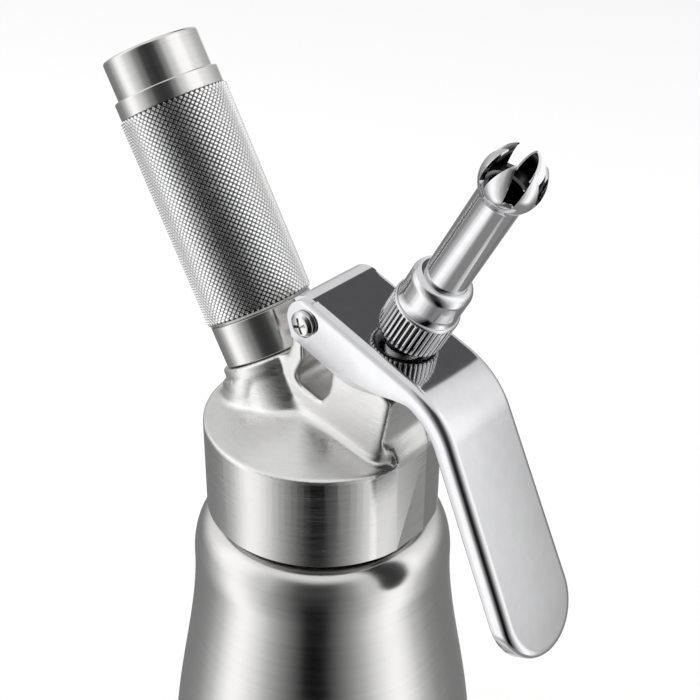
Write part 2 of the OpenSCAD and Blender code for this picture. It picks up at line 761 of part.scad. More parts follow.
module wall_outline() {
    circle(r = ear_r, $fn = round_n);
    polygon(concat(
        [[-ear_r * 0.72, -ear_r * 0.7], [-2.4, -ear_r - 0.75], [0.6, -ear_r - 1.2]],
        [for (i = [0:12]) let(x = 3 + (plate_l + 1 - 3) * i / 12) [x, wall_low(x)]],
        [[plate_l + 1, curl_r - rim_h + 0.6], [plate_l, curl_r - fold_r], [0, curl_r - fold_r],
         [-1.5, ear_r - 0.3]]));
}

module lever_bend() {
    translate([plate_l, 0, curl_r - bend_r])
        rotate([-90, 0, 0])
            rotate([0, 0, -90])
                rotate_extrude(angle = bend_angle, $fn = 4 * fine)
                    translate([bend_r, 0]) mirror([1, -1]) section(lever_half, rim_h);
}

module paddle() {
    overlap = 0.6;
    translate([plate_l + bend_r * sin(bend_angle), 0, curl_r - bend_r + bend_r * cos(bend_angle)])
        rotate([0, bend_angle, 0]) {
            for (side = [0, 1])
                mirror([0, side, 0])
                    translate([0, lever_half, 0])
                        rotate([0, 0, paddle_taper])
                            translate([-overlap, -lever_half, 0])
                                rotate([90, 0, 90])
                                    linear_extrude(height = edge_l + 2 * overlap)
                                        half_section(lever_half, rim_h, 4, seam_inset);
            translate([paddle_l, 0, 0])
                rotate([0, 0, -90 - paddle_taper])
                    rotate_extrude(angle = 180 + 2 * paddle_taper, $fn = fine)
                        intersection() {
                            half_section(paddle_end_r, rim_h);
                            translate([0, -rim_h - 1]) square([paddle_end_r + 1, rim_h + 2]);
                        }
        }
}

// Two ribs under the plate that press on the valve stem's flange
module lugs() {
    tip = to_lever(valve_point(0, flange_top + lug_gap + lug_r));
    for (side = [-1, 1])
        translate([tip[0], side > 0 ? lug_low_y : -lug_high_y, 0])
            rotate([-90, 0, 0])
                linear_extrude(height = lug_high_y - lug_low_y) {
                    translate([0, -tip[1]]) circle(r = lug_r, $fn = 32);
                    translate([-lug_r, -(curl_r - lever_t + 0.5)]) square([2 * lug_r, curl_r - lever_t + 0.5 - tip[1]]);
                }
}

module lever() {
    plate_mid = to_lever(valve_point(0, plate_out_v - lever_t / 2));
    color("whitesmoke")
        on_lever()
            difference() {
                union() {
                    // curl over the hinge
                    translate([0, lever_half - 1.3, 0])
                        rotate([90, 0, 0])
                            rotate([0, 0, 85])
                                rotate_extrude(angle = 70, $fn = 2 * fine)
                                    translate([curl_inner_r + seam_inset, 0])
                                        square([lever_t - 2 * seam_inset, lever_w - 2.6]);
                    translate([0, 0, curl_r])
                        rotate([90, 0, 90])
                            linear_extrude(height = plate_l) section(lever_half, rim_h);
                    for (side = [0, 1])
                        mirror([0, side, 0])
                            translate([0, lever_half, 0])
                                rotate([90, 0, 0]) linear_extrude(height = lever_t) wall_outline();
                    lever_bend();
                    paddle();
                    lugs();
                }
                // holes of the hinge
                translate([0, 30, 0]) rotate([90, 0, 0])
                    cylinder(h = 60, r = barrel_r + run_gap, $fn = round_n);
                // slot that clears the valve stem while the lever tips
                for (shift = [0, -lever_hole_slot])
                    translate([plate_mid[0] + shift, 0, curl_r - lever_t - 3])
                        cylinder(h = lever_t + 6, r = lever_hole_r, $fn = round_n);
                translate([plate_mid[0] - lever_hole_slot, -lever_hole_r, curl_r - lever_t - 3])
                    cube([lever_hole_slot, 2 * lever_hole_r, lever_t + 6]);
            }
}

module hinge_barrel() {
    color("silver")
        translate([hinge_x, barrel_half, collar_z + hinge_z])
            rotate([90, 0, 0])
                difference() {
                    cylinder(h = 2 * barrel_half, r = barrel_r, $fn = round_n);
                    translate([0, 0, -1]) cylinder(h = 2 * barrel_half + 2, r = 1.5, $fn = round_n);
                }
}

// Pan-head screw with a cross recess, its head outward of the lever's ear
module hinge_screw() {
    r = screw_head_r;
    rotate([90, 0, 0])
        difference() {
            rotate_extrude($fn = round_n)
                polygon([
                    [0, -8], [1.2, -8], [1.5 - seat_gap, -7.6], [1.5 - seat_gap, seat_gap], [r, seat_gap],
                    [r, 0.9], [r - 0.35, 1.4], [r - 1.1, 1.75], [r - 2.1, 1.95], [0, 2]]);
            for (turn = [0, 90])
                rotate([0, 0, turn + 20]) translate([-2, -0.35, 1]) cube([4, 0.7, 2]);
        }
}

module hinge_screw_near() {
    color("silver")
        translate([hinge_x, -barrel_half, collar_z + hinge_z]) hinge_screw();
}

module hinge_screw_far() {
    color("silver")
        translate([hinge_x, barrel_half, collar_z + hinge_z]) mirror([0, 1, 0]) hinge_screw();
}

bottle();
neck_ring();
head();
head_gasket();
inlet_stub();
piercing_pin();
check_plug();
check_spring();
check_retainer();
charger_gasket();
holder_core();
holder_grip();
charger();
charger_seal();
valve_stem();
valve_spring();
valve_o_ring();
valve_seal();
valve_nut();
nozzle_gasket();
nozzle_adapter();
tulip_nozzle();
lever();
hinge_barrel();
hinge_screw_near();
hinge_screw_far();
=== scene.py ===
"""The looks of a whipped cream dispenser: its turned, cast, pressed and knurled metal round the fixed frame."""

import json
import logging
import math
from dataclasses import dataclass
from typing import Iterable, Optional, Sequence

import bmesh
import bpy
from mathutils import Matrix, Vector


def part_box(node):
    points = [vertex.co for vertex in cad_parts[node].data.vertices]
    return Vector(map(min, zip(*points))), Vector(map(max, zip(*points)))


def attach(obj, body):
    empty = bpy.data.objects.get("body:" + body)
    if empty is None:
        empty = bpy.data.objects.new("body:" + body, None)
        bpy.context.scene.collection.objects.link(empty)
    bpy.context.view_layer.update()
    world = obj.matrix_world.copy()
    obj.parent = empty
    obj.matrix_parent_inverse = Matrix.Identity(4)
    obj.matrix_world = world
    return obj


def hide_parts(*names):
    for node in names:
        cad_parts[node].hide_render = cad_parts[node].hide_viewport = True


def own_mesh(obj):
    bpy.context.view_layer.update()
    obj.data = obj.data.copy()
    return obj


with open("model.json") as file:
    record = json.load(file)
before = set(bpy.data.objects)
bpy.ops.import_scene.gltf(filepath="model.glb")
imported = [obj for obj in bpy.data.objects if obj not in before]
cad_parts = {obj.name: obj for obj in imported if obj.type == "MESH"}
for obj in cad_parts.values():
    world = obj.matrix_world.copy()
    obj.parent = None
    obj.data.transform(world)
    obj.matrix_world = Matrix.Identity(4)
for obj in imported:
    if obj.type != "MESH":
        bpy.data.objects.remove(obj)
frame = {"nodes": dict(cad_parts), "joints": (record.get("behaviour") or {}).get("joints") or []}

Piece = bpy.types.Object
BMesh = bmesh.types.BMesh
Socket = bpy.types.NodeSocket
Line = Sequence[tuple[float, float]]

LOG = logging.getLogger("dispenser")
MM = 0.001
# turns an outline drawn in X and Y up on its edge, so that its Y points along Z
ON_EDGE = Matrix(((1, 0, 0, 0), (0, 0, -1, 0), (0, 1, 0, 0), (0, 0, 0, 1)))
# how far beside a round the extra point lies that keeps a long face flat, in millimetres
HOLD = 0.15
# closer corners than this, in metres, are one corner
SAME = 1e-7
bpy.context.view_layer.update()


# ---- Geometry helpers ---------------------------------------------------------------


@dataclass(frozen=True)
class Corner:
    """A corner of a turned outline: its radius, its height, and the round on it, in millimetres."""

    radius: float
    height: float
    round: float = 0.0


@dataclass(frozen=True)
class Axis:
    """A line that a piece is turned about. Its frame has the line as Z and the bottle's Y."""

    foot: Vector
    along: Vector

    def frame(self) -> Matrix:
        """Returns the matrix that takes the axis's own frame to the model's."""
        lean = math.atan2(self.along.x, self.along.z)
        return Matrix.Translation(self.foot) @ Matrix.Rotation(lean, 4, "Y")

    def split(self, point: Vector) -> tuple[float, Vector]:
        """Splits a point's place into how far along the axis it lies, and its offset from it, in metres."""
        offset = point - self.foot
        along = offset.dot(self.along)
        return along, offset - self.along * along

    def span(self, node: str) -> tuple[float, float]:
        """Finds between which distances along the axis a CAD node lies.

        Args:
            node: the CAD node.

        Returns:
            The near and the far end's distance from the axis's foot, in millimetres.
        """
        heights = [(v.co - self.foot).dot(self.along) for v in frame["nodes"][node].data.vertices]
        return min(heights) / MM, max(heights) / MM


def joint_named(name: str) -> dict:
    """Returns the frame's joint of that name."""
    return next(j for j in frame["joints"] if j["name"] == name)


def joint_axis(name: str) -> Axis:
    """Returns the line that a hinge joint turns about."""
    joint = joint_named(name)
    return Axis(Vector(joint["pos_m"]), Vector(joint["axis"]).normalized())


def hinge_point() -> Vector:
    """Returns the middle of the lever's hinge."""
    return Vector(joint_named("lever_squeeze")["pos_m"])


def rounded(corners: Sequence[Corner], steps: int = 5) -> list[tuple[float, float]]:
    """Turns corners into an outline whose marked corners are round.

    Args:
        corners: the outline's corners in order, closed from the last to the first.
        steps: how many stretches make one round.

    Returns:
        The outline's points, as radius and height in millimetres.
    """
    points: list[tuple[float, float]] = []
    count = len(corners)
    for i, corner in enumerate(corners):
        here = Vector((corner.radius, corner.height))
        if corner.round <= 0:
            points.append(tuple(here))
            continue
        before = Vector((corners[i - 1].radius, corners[i - 1].height))
        after = Vector((corners[(i + 1) % count].radius, corners[(i + 1) % count].height))
        into, out = (here - before).normalized(), (after - here).normalized()
        half_turn = into.angle(out) / 2
        reach = corner.round * math.tan(half_turn)
        start, end = here - into * reach, here + out * reach
        # a line of points close to each end of the round keeps the long faces beside it flat
        if (start - before).length > 8 * HOLD:
            points.append(tuple(start - into * HOLD))
        for k in range(steps + 1):
            t = k / steps
            points.append(tuple(start * (1 - t) ** 2 + here * 2 * t * (1 - t) + end * t * t))
        if (after - end).length > 8 * HOLD:
            points.append(tuple(end + out * HOLD))
    return points


def new_object(name: str, mesh: BMesh) -> Piece:
    """Makes a scene object of a finished bmesh, which is freed."""
    data = bpy.data.meshes.new(name)
    mesh.to_mesh(data)
    mesh.free()
    piece = bpy.data.objects.new(name, data)
    bpy.context.scene.collection.objects.link(piece)
    return piece


def placed_object(name: str, mesh: BMesh, place: Optional[Matrix] = None) -> Piece:
    """Turns a bmesh's faces outward, takes it to its place and makes an object of it."""
    bmesh.ops.recalc_face_normals(mesh, faces=mesh.faces[:])
    if place is not None:
        bmesh.ops.transform(mesh, matrix=place, verts=mesh.verts[:])
    return new_object(name, mesh)


def shade(piece: Piece, sharp_deg: float = 32.0) -> None:
    """Shades a piece smooth, with its edges over sharp_deg kept sharp."""
    piece.data.shade_smooth()
    piece.data.set_sharp_from_angle(angle=math.radians(sharp_deg))


def spun(mesh: BMesh, outline: Line, steps: int) -> None:
    """Adds a closed outline turned about Z to a bmesh, in metres.

    Args:
        mesh: the bmesh that gets the turned form.
        outline: radius and height of each point in millimetres, going round the section.
        steps: how many stretches the full turn has.
    """
    verts = [mesh.verts.new((max(r, 0.0) * MM, 0.0, z * MM)) for r, z in outline]
    edges = [mesh.edges.new((a, b)) for a, b in zip(verts, verts[1:] + verts[:1])]
    bmesh.ops.spin(
        mesh,
        geom=verts + edges,
        cent=(0, 0, 0),
        axis=(0, 0, 1),
        dvec=(0, 0, 0),
        angle=2 * math.pi,
        steps=steps,
        use_merge=True,
        use_normal_flip=False,
        use_duplicate=False,
    )
    bmesh.ops.remove_doubles(mesh, verts=mesh.verts[:], dist=SAME)
    bmesh.ops.recalc_face_normals(mesh, faces=mesh.faces[:])


def turned(name: str, corners: Sequence[Corner], place: Matrix, steps: int) -> Piece:
    """Makes a solid turned about an axis.

    Args:
        name: the piece's name.
        corners: the section's corners, all round it.
        place: the matrix from the axis's frame to the model's.
        steps: how many stretches the full turn has.

    Returns:
        The piece, at its place in its mesh.
    """
    mesh = bmesh.new()
    spun(mesh, rounded(corners), steps)
    bmesh.ops.transform(mesh, matrix=place, verts=mesh.verts[:])
    piece = new_object(name, mesh)
    shade(piece)
    return piece


def apply_modifiers(piece: Piece) -> None:
    """Makes a piece's modifiers part of its mesh."""
    bpy.context.view_layer.update()
    evaluated = piece.evaluated_get(bpy.context.evaluated_depsgraph_get())
    data = bpy.data.meshes.new_from_object(evaluated)
    old = piece.data
    piece.modifiers.clear()
    piece.data = data
    bpy.data.meshes.remove(old)


def combine(piece: Piece, tools: Iterable[Piece], operation: str) -> None:
    """Joins solids to a piece or cuts them out of it. The solids are used up.

    Args:
        piece: the piece that changes.
        tools: the solids.
        operation: UNION or DIFFERENCE.
    """
    tools = list(tools)
    for tool in tools:
        modifier = piece.modifiers.new("combine", "BOOLEAN")
        modifier.operation = operation
        modifier.solver = "EXACT"
        modifier.object = tool
    apply_modifiers(piece)
    for tool in tools:
        data = tool.data
        bpy.data.objects.remove(tool)
        bpy.data.meshes.remove(data)


def prism(name: str, outline: Line, depth: float, place: Matrix) -> Piece:
    """Makes a straight solid of an outline.

    Args:
        name: the solid's name.
        outline: the outline's points in X and Y, in millimetres.
        depth: how far it goes in Z, from half below to half above the outline, in millimetres.
        place: the matrix that takes it to the model's frame.

    Returns:
        The solid.
    """
    mesh = bmesh.new()
    points = [(round(x * MM, 8), round(y * MM, 8), round(-depth / 2 * MM, 8)) for x, y in outline]
    face = mesh.faces.new([mesh.verts.new(point) for point in points])
    raised = bmesh.ops.extrude_face_region(mesh, geom=[face])
    top = [g for g in raised["geom"] if isinstance(g, bmesh.types.BMVert)]
    bmesh.ops.translate(mesh, vec=(0, 0, depth * MM), verts=top)
    return placed_object(name, mesh, place)


def rod(name: str, radius: float, low: float, high: float, place: Matrix, steps: int) -> Piece:
    """Makes a plain round solid along the Z of place, from low to high, in millimetres."""
    mesh = bmesh.new()
    middle = Matrix.Translation((0, 0, (low + high) / 2 * MM))
    bmesh.ops.create_cone(
        mesh,
        cap_ends=True,
        cap_tris=False,
        segments=steps,
        radius1=radius * MM,
        radius2=radius * MM,
        depth=(high - low) * MM,
        matrix=place @ middle,
    )
    return new_object(name, mesh)


def helix(
    name: str,
    section: Line,
    stages: Line,
    steps: int,
    place: Matrix,
) -> Piece:
    """Winds a closed section into a helix, such as a screw thread or a spring.

    Args:
        name: the piece's name.
        section: radius and height of the section's points in millimetres, at the foot of the helix.
        stages: turns and rise per turn in millimetres, one pair for each stretch of the helix.
        steps: how many stretches one turn has.
        place: the matrix from the helix's frame to the model's.

    Returns:
        The piece, closed at both ends.
    """
    mesh = bmesh.new()
    last = [mesh.faces.new([mesh.verts.new((r * MM, 0.0, z * MM)) for r, z in section])]
    turned_so_far = 0.0
    for turns, rise in stages:
        wound = bmesh.ops.spin(
            mesh,
            geom=last,
            cent=(0, 0, 0),
            axis=(0, 0, 1),
            dvec=(0, 0, rise * MM / steps),
            angle=2 * math.pi * turns,
            steps=round(steps * turns),
        )
        if turned_so_far:
            bmesh.ops.delete(mesh, geom=last, context="FACES_ONLY")
        turned_so_far += turns
        last = [g for g in wound["geom_last"] if isinstance(g, bmesh.types.BMFace)]
    piece = placed_object(name, mesh, place)
    shade(piece, 50)
    return piece


def arc(cx: float, cy: float, radius: float, start: float, end: float, steps: int) -> list[tuple[float, float]]:
    """Returns points on an arc about (cx, cy) from the start angle to the end angle, in degrees."""
    turns = (math.radians(start + (end - start) * k / steps) for k in range(steps + 1))
    return [(cx + radius * math.cos(t), cy + radius * math.sin(t)) for t in turns]


def swept(
    mesh: BMesh, rings: Sequence[Sequence[Vector]], inner: Sequence[int] = ()
) -> list[bmesh.types.BMVert]:
    """Draws a closed ring of points out through the places that it takes one after another.

    Args:
        mesh: the bmesh that gets the form, with a face over the first ring.
        rings: the ring's places in metres, with the same number of points in each.
        inner: the sides of the ring whose faces get the second material, counted from the first point.

    Returns:
        The last ring's corners.
    """
    verts = [mesh.verts.new(point) for point in rings[0]]
    edges = [mesh.edges.new(pair) for pair in zip(verts, verts[1:] + verts[:1])]
    mesh.faces.new(verts)
    for ring in rings[1:]:
        drawn = bmesh.ops.extrude_edge_only(mesh, edges=edges)["geom"]
        fresh = {g for g in drawn if isinstance(g, bmesh.types.BMVert)}
        strip = {g for g in drawn if isinstance(g, bmesh.types.BMFace)}
        for side in inner:
            for face in strip.intersection(edges[side].link_faces):
                face.material_index = 1
        verts = [next(o for e in v.link_edges if (o := e.other_vert(v)) in fresh) for v in verts]
        for vert, point in zip(verts, ring):
            vert.co = point
        edges = [mesh.edges.get(pair) for pair in zip(verts, verts[1:] + verts[:1])]
    return verts


def bevelled(piece: Piece, width: float, angle_deg: float) -> None:
    """Rounds a piece's sharp edges.

    Args:
        piece: the piece.
        width: how far each round reaches, in millimetres.
        angle_deg: edges that turn by more than this are rounded.
    """
    shade(piece, 40)
    modifier = piece.modifiers.new("edges", "BEVEL")
    modifier.width = width * MM
    modifier.segments = 2
    modifier.limit_method = "ANGLE"
    modifier.angle_limit = math.radians(angle_deg)
    modifier.use_clamp_overlap = True
    modifier.harden_normals = True
    apply_modifiers(piece)


def cad_copy(node: str) -> BMesh:
    """Returns a CAD node's mesh as a closed bmesh of its own, with its loose corners merged."""
    mesh = bmesh.new()
    mesh.from_mesh(frame["nodes"][node].data)
    bmesh.ops.remove_doubles(mesh, verts=mesh.verts[:], dist=1e-6)
    return mesh


def smooth_step(t: float) -> float:
    """Returns a smooth rise from 0 to 1 as t goes from 0 to 1."""
    t = min(max(t, 0.0), 1.0)
    return t * t * (3 - 2 * t)


# ---- Shader groups and finishes -----------------------------------------------------


class Tree:
    """A node tree with short calls for adding and joining nodes."""

    def __init__(self, tree: bpy.types.NodeTree) -> None:
        """Keeps the tree that nodes are added to."""
        self.tree = tree

    def add(self, kind: str, **values: object) -> bpy.types.Node:
        """Adds a node.

        Args:
            kind: the node's type, without the ShaderNode at its start.
            values: the node's properties.

        Returns:
            The node.
        """
        node = self.tree.nodes.new("ShaderNode" + kind)
        for key, value in values.items():
            setattr(node, key, value)
        return node

    def join(self, source: Socket, target: Socket) -> None:
        """Joins one node's output to another's input."""
        self.tree.links.new(source, target)

    def feed(self, socket: Socket, value: object) -> None:
        """Gives an input its value: another node's output, a number, or a colour or vector."""
        if isinstance(value, Socket):
            self.join(value, socket)
        elif value is not None:
            socket.default_value = value

    def math(self, operation: str, first: object, second: object = None) -> Socket:
        """Adds a Math node.

        Args:
            operation: what it works out.
            first: a socket or a number.
            second: a socket, a number or nothing.

        Returns:
            Its output.
        """
        node = self.add("Math", operation=operation)
        for socket, value in zip(node.inputs, (first, second)):
            self.feed(socket, value)
        return node.outputs[0]

    def spread(
        self, value: Socket, source: Sequence[float], target: Sequence[float] = (0, 1), ease: bool = False
    ) -> Socket:
        """Adds a Map Range node.

        Args:
            value: the socket of the value.
            source: the two ends that the value runs between.
            target: what they become.
            ease: whether the way between them eases in and out.

        Returns:
            Its output.
        """
        node = self.add("MapRange", interpolation_type="SMOOTHSTEP" if ease else "LINEAR")
        for key, number in zip(("From Min", "From Max", "To Min", "To Max"), (*source, *target)):
            node.inputs[key].default_value = number
        self.join(value, node.inputs["Value"])
        return node.outputs["Result"]

    def mix(self, share: Socket, first: object, second: object) -> Socket:
        """Adds a mix of two colours, each a socket or three numbers, and returns its output."""
        node = self.add("MixRGB")
        self.join(share, node.inputs["Fac"])
        for key, value in (("Color1", first), ("Color2", second)):
            self.feed(node.inputs[key], value if isinstance(value, Socket) else (*value, 1))
        return node.outputs["Color"]

    def vector(self, operation: str, first: Socket, second: object = None) -> Socket:
        """Adds a Vector Math node and returns the output that its operation gives."""
        node = self.add("VectorMath", operation=operation)
        self.join(first, node.inputs[0])
        self.feed(node.inputs[1], second)
        return node.outputs["Value" if operation in ("LENGTH", "DOT_PRODUCT") else "Vector"]

    def group(self, name: str, place: Socket, **numbers: float) -> bpy.types.Node:
        """Adds one of the script's own groups at a place, with its numbers, and returns the node."""
        node = self.add("Group", node_tree=GROUPS[name])
        for key, number in numbers.items():
            node.inputs[key].default_value = number
        self.join(place, node.inputs["Vector"])
        return node

    def bump(self, shader: bpy.types.Node, height: Socket, depth: float, strength: float) -> None:
        """Adds a bump that is depth millimetres deep to a shader."""
        node = self.add("Bump")
        node.inputs["Distance"].default_value = depth * MM
        node.inputs["Strength"].default_value = strength
        self.join(height, node.inputs["Height"])
        self.join(node.outputs["Normal"], shader.inputs["Normal"])

    def noise(self, place: Socket, **numbers: float) -> Socket:
        """Adds a noise texture at a place, with its numbers, and returns its value's output."""
        node = self.add("TexNoise")
        for key, number in numbers.items():
            node.inputs[key].default_value = number
        self.join(place, node.inputs["Vector"])
        return node.outputs["Fac"]

    def ramp(self, source: Socket, stops: Line) -> Socket:
        """Adds a curve of grey through stops of (position, value) and returns its output."""
        node = self.add("ValToRGB")
        node.color_ramp.interpolation = "EASE"
        elements = node.color_ramp.elements
        while len(elements) < len(stops):
            elements.new(0.5)
        for element, (position, value) in zip(elements, stops):
            element.position = position
            element.color = (value, value, value, 1)
        self.join(source, node.inputs["Fac"])
        return node.outputs["Color"]


def new_group(
    name: str, inputs: dict[str, str], outputs: Sequence[str]
) -> tuple[Tree, bpy.types.Node, bpy.types.Node]:
    """Starts a shader group.

    Args:
        name: the group's name.
        inputs: the kind of each input, Vector or Float, by its name.
        outputs: the names of its outputs, which are all values.

    Returns:
        Its tree, and the nodes of its inputs and its outputs.
    """
    group = bpy.data.node_groups.new(name, "ShaderNodeTree")
    for key, kind in inputs.items():
        group.interface.new_socket(key, in_out="INPUT", socket_type="NodeSocket" + kind)
    for key in outputs:
        group.interface.new_socket(key, in_out="OUTPUT", socket_type="NodeSocketFloat")
    return Tree(group), group.nodes.new("NodeGroupInput"), group.nodes.new("NodeGroupOutput")


def new_material(name: str) -> tuple[bpy.types.Material, Tree, bpy.types.Node]:
    """Makes a material and returns it with its tree and its Principled shader."""
    material = bpy.data.materials.new(name)
    material.use_nodes = True
    tree = Tree(material.node_tree)
    return material, tree, material.node_tree.nodes["Principled BSDF"]


def turning_lines() -> bpy.types.NodeTree:
    """Builds the group for the fine rings that turning, brushing or polishing on a lathe leaves.

    Returns:
        A group with Vector, Along and Around in, and Height and Streaks out. Along and Around are the
        noise's scales along the axis and across it.
    """
    tree, inner, outer = new_group(
        "turning_lines", {"Vector": "Vector", "Along": "Float", "Around": "Float"}, ("Height", "Streaks")
    )
    scale = tree.add("CombineXYZ")
    for key, number in (("X", "Around"), ("Y", "Around"), ("Z", "Along")):
        tree.join(inner.outputs[number], scale.inputs[key])
    stretched = tree.vector("MULTIPLY", inner.outputs["Vector"], scale.outputs["Vector"])
    fine = tree.noise(stretched, Scale=1.0, Detail=3.0, Roughness=0.6)
    broad = tree.noise(stretched, Scale=0.23, Detail=2.0)
    tree.join(fine, outer.inputs["Height"])
    both = tree.math("ADD", tree.math("MULTIPLY", fine, 0.6), tree.math("MULTIPLY", broad, 0.4))
    tree.join(both, outer.inputs["Streaks"])
    return tree.tree


def handling_marks() -> bpy.types.NodeTree:
    """Builds the group for the faint smudges and wiping marks of a handled surface.

    Returns:
        A group with Vector and Scale in, and Marks out.
    """
    tree, inner, outer = new_group("handling_marks", {"Vector": "Vector", "Scale": "Float"}, ("Marks",))
    cloud = tree.noise(inner.outputs["Vector"], Detail=5.0, Roughness=0.55, Distortion=0.6)
    tree.join(inner.outputs["Scale"], cloud.node.inputs["Scale"])
    tree.join(cloud, outer.inputs["Marks"])
    return tree.tree


@dataclass(frozen=True)
class MetalFinish:
    """A bare metal finish: its colour, gloss and the marks of how it was made.

    Along and around are how fine those marks are along the axis and across it. Cavity holds the radii in
    Two radii in millimetres say where painted shade in the floors of knurls and ribs is darkest and where it
    has faded to the finish's own colour on their tops, and a second colour gives that painted shade.
    """

    colour: tuple[float, float, float]
    roughness: float
    spread: float
    along: float = 2600.0
    around: float = 60.0
    depth: float = 0.02
    strength: float = 0.3
    anisotropy: float = 0.0
    mottle: float = 0.05
    groove_shade: tuple[float, float] = (0.0, 0.0)
    groove_shade_colour: tuple[float, float, float] = (0.035, 0.035, 0.037)

    def material(self, name: str, place: Optional[Matrix] = None) -> bpy.types.Material:
        """Builds the material.

        Args:
            name: the material's name.
            place: the frame whose Z the marks run about; the model's own if it is left out.

        Returns:
            The material.
        """
        material, tree, shader = new_material(name)
        shader.inputs["Metallic"].default_value = 1.0
        shader.inputs["Anisotropic"].default_value = self.anisotropy
        centre = tree.add("Mapping", vector_type="TEXTURE")
        if place is not None:
            centre.inputs["Location"].default_value = place.to_translation()
            centre.inputs["Rotation"].default_value = place.to_euler()
        tree.join(tree.add("TexCoord").outputs["Object"], centre.inputs["Vector"])
        centred = centre.outputs["Vector"]
        lines = tree.group("turning_lines", centred, Along=self.along, Around=self.around)
        marks = tree.group("handling_marks", centred, Scale=45.0)
        # gloss: streaks and faint marks about the finish's own roughness
        gloss = (self.roughness - self.spread, self.roughness + self.spread)
        streaked = tree.spread(lines.outputs["Streaks"], (0.3, 0.7), gloss)
        smudged = tree.spread(marks.outputs["Marks"], (0.35, 0.75), (-self.mottle * 0.5, self.mottle))
        tree.join(tree.math("ADD", streaked, smudged), shader.inputs["Roughness"])
        # colour: a little darker in the streaks
        dark, light = [c * 0.86 for c in self.colour], [min(c * 1.06, 1.0) for c in self.colour]
        colour = tree.mix(lines.outputs["Streaks"], dark, light)
        # painted shade in the floors between knurls or ribs, where shade falls
        if self.groove_shade[1] > 0:
            colour = self.with_groove_shade(tree, centred, colour)
        tree.join(colour, shader.inputs["Base Color"])
        tree.bump(shader, lines.outputs["Height"], self.depth, self.strength)
        return material

    def with_groove_shade(
        self, tree: Tree, place: Socket, colour: Socket
    ) -> Socket:
        """Paints shade over a colour on the floors between knurls or ribs, where shade falls in the grooves.

        Args:
            tree: the material's tree.
            place: the socket of the place in the finish's frame, in metres.
            colour: the socket of the colour.

        Returns:
            The socket of the colour with its painted shade.
        """
        radius = tree.vector("LENGTH", tree.vector("MULTIPLY", place, (1, 1, 0)))
        # painted shade: darkest at the inner radius and gone at the outer one
        height = tree.spread(radius, [r * MM for r in self.groove_shade], ease=True)
        return tree.mix(height, self.groove_shade_colour, colour)


@dataclass(frozen=True)
class RubberFinish:
    """A moulded rubber or plastic finish."""

    colour: tuple[float, float, float]
    roughness: float = 0.55

    def material(self, name: str) -> bpy.types.Material:
        """Builds the material and returns it."""
        material, tree, shader = new_material(name)
        node = tree.group("handling_marks", tree.add("TexCoord").outputs["Object"], Scale=600.0)
        marks = node.outputs["Marks"]
        tint = tree.mix(marks, [c * 0.8 for c in self.colour], [c * 1.2 for c in self.colour])
        tree.join(tint, shader.inputs["Base Color"])
        shader.inputs["Roughness"].default_value = self.roughness
        tree.bump(shader, marks, 0.03, 0.4)
        return material


GROUPS: dict[str, bpy.types.NodeTree] = {}

STEEL = (0.66, 0.655, 0.65)
BRIGHT = (0.80, 0.80, 0.80)
CHROME = (0.66, 0.66, 0.67)
BOTTLE_FINISH = MetalFinish(STEEL, 0.2, 0.03, 2400, 30, 0.01, 0.25, anisotropy=0.3)
COLLAR_FINISH = MetalFinish(STEEL, 0.22, 0.06, 3000, 130, 0.04, 0.5, anisotropy=0.3)
CASTING_FINISH = MetalFinish((0.76, 0.757, 0.75), 0.32, 0.08, 2200, 260, 0.08, 0.6, mottle=0.1)
BAND_FINISH = MetalFinish(STEEL, 0.13, 0.03, 3500, 25, 0.01, 0.3)
# the knurl's floors get painted shade, darkest inside 13.9 mm and gone by 14.2 mm
KNURL_GROOVE_SHADE_FINISH = MetalFinish(
    (0.93, 0.93, 0.93), 0.24, 0.05, 900, 900, 0.01, 0.2, groove_shade=(13.9, 14.2), groove_shade_colour=(0.06, 0.06, 0.062)
)
LEVER_FINISH = MetalFinish(CHROME, 0.08, 0.015, 300, 300, 0.004, 0.1, mottle=0.02)
# painted shade: the lever's underside and inner faces are near black, standing in for the shade under the lever
LEVER_INSIDE_SHADE_FINISH = MetalFinish((0.13, 0.13, 0.133), 0.3, 0.05, 600, 600, 0.01, 0.3)
NOZZLE_FINISH = MetalFinish(CHROME, 0.06, 0.015, 1800, 20, 0.004, 0.15, mottle=0.01)
# painted shade: the tulip's bore and the insides of its petals are near black, standing in for the shade inside
# the tube
BORE_SHADE_FINISH = MetalFinish((0.09, 0.09, 0.092), 0.2, 0.03, 1800, 20, 0.004, 0.15)
# the rib chrome paints shade into the grooves between the ribs, darkest inside 7.72 mm
RIB_GROOVE_SHADE_FINISH = MetalFinish(CHROME, 0.1, 0.02, 1800, 20, 0.004, 0.15, mottle=0.02, groove_shade=(7.72, 8.1))
SCREW_FINISH = MetalFinish(STEEL, 0.12, 0.03, 1800, 200, 0.006, 0.2, mottle=0.03)
INNER_FINISH = MetalFinish(STEEL, 0.3, 0.05, 2000, 60, 0.01, 0.3)
WIRE_FINISH = MetalFinish(STEEL, 0.22, 0.04, 800, 800, 0.004, 0.2)
CHARGER_FINISH = MetalFinish((0.6, 0.61, 0.62), 0.3, 0.06, 500, 500, 0.01, 0.3)
RUBBER_FINISH = RubberFinish((0.03, 0.03, 0.032))


def dress(piece: Piece, material: bpy.types.Material) -> None:
    """Gives a piece one material in all its slots."""
    if not piece.data.materials:
        piece.data.materials.append(material)
    for slot in piece.material_slots:
        slot.material = material


def seat(piece: Piece, body: str, slot: str, material: bpy.types.Material, *nodes: str) -> None:
    """Fits a finished piece into the frame.

    Args:
        piece: the piece.
        body: the CAD body that it moves with.
        slot: the record's material slot; not used.
        material: its material.
        nodes: the CAD nodes that it stands for.
    """
    dress(piece, material)
    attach(piece, body)
    if nodes:
        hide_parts(*nodes)
    LOG.info("%s: %d faces, rides on %s", piece.name, len(piece.data.polygons), body)


# ---- The bottle ---------------------------------------------------------------------


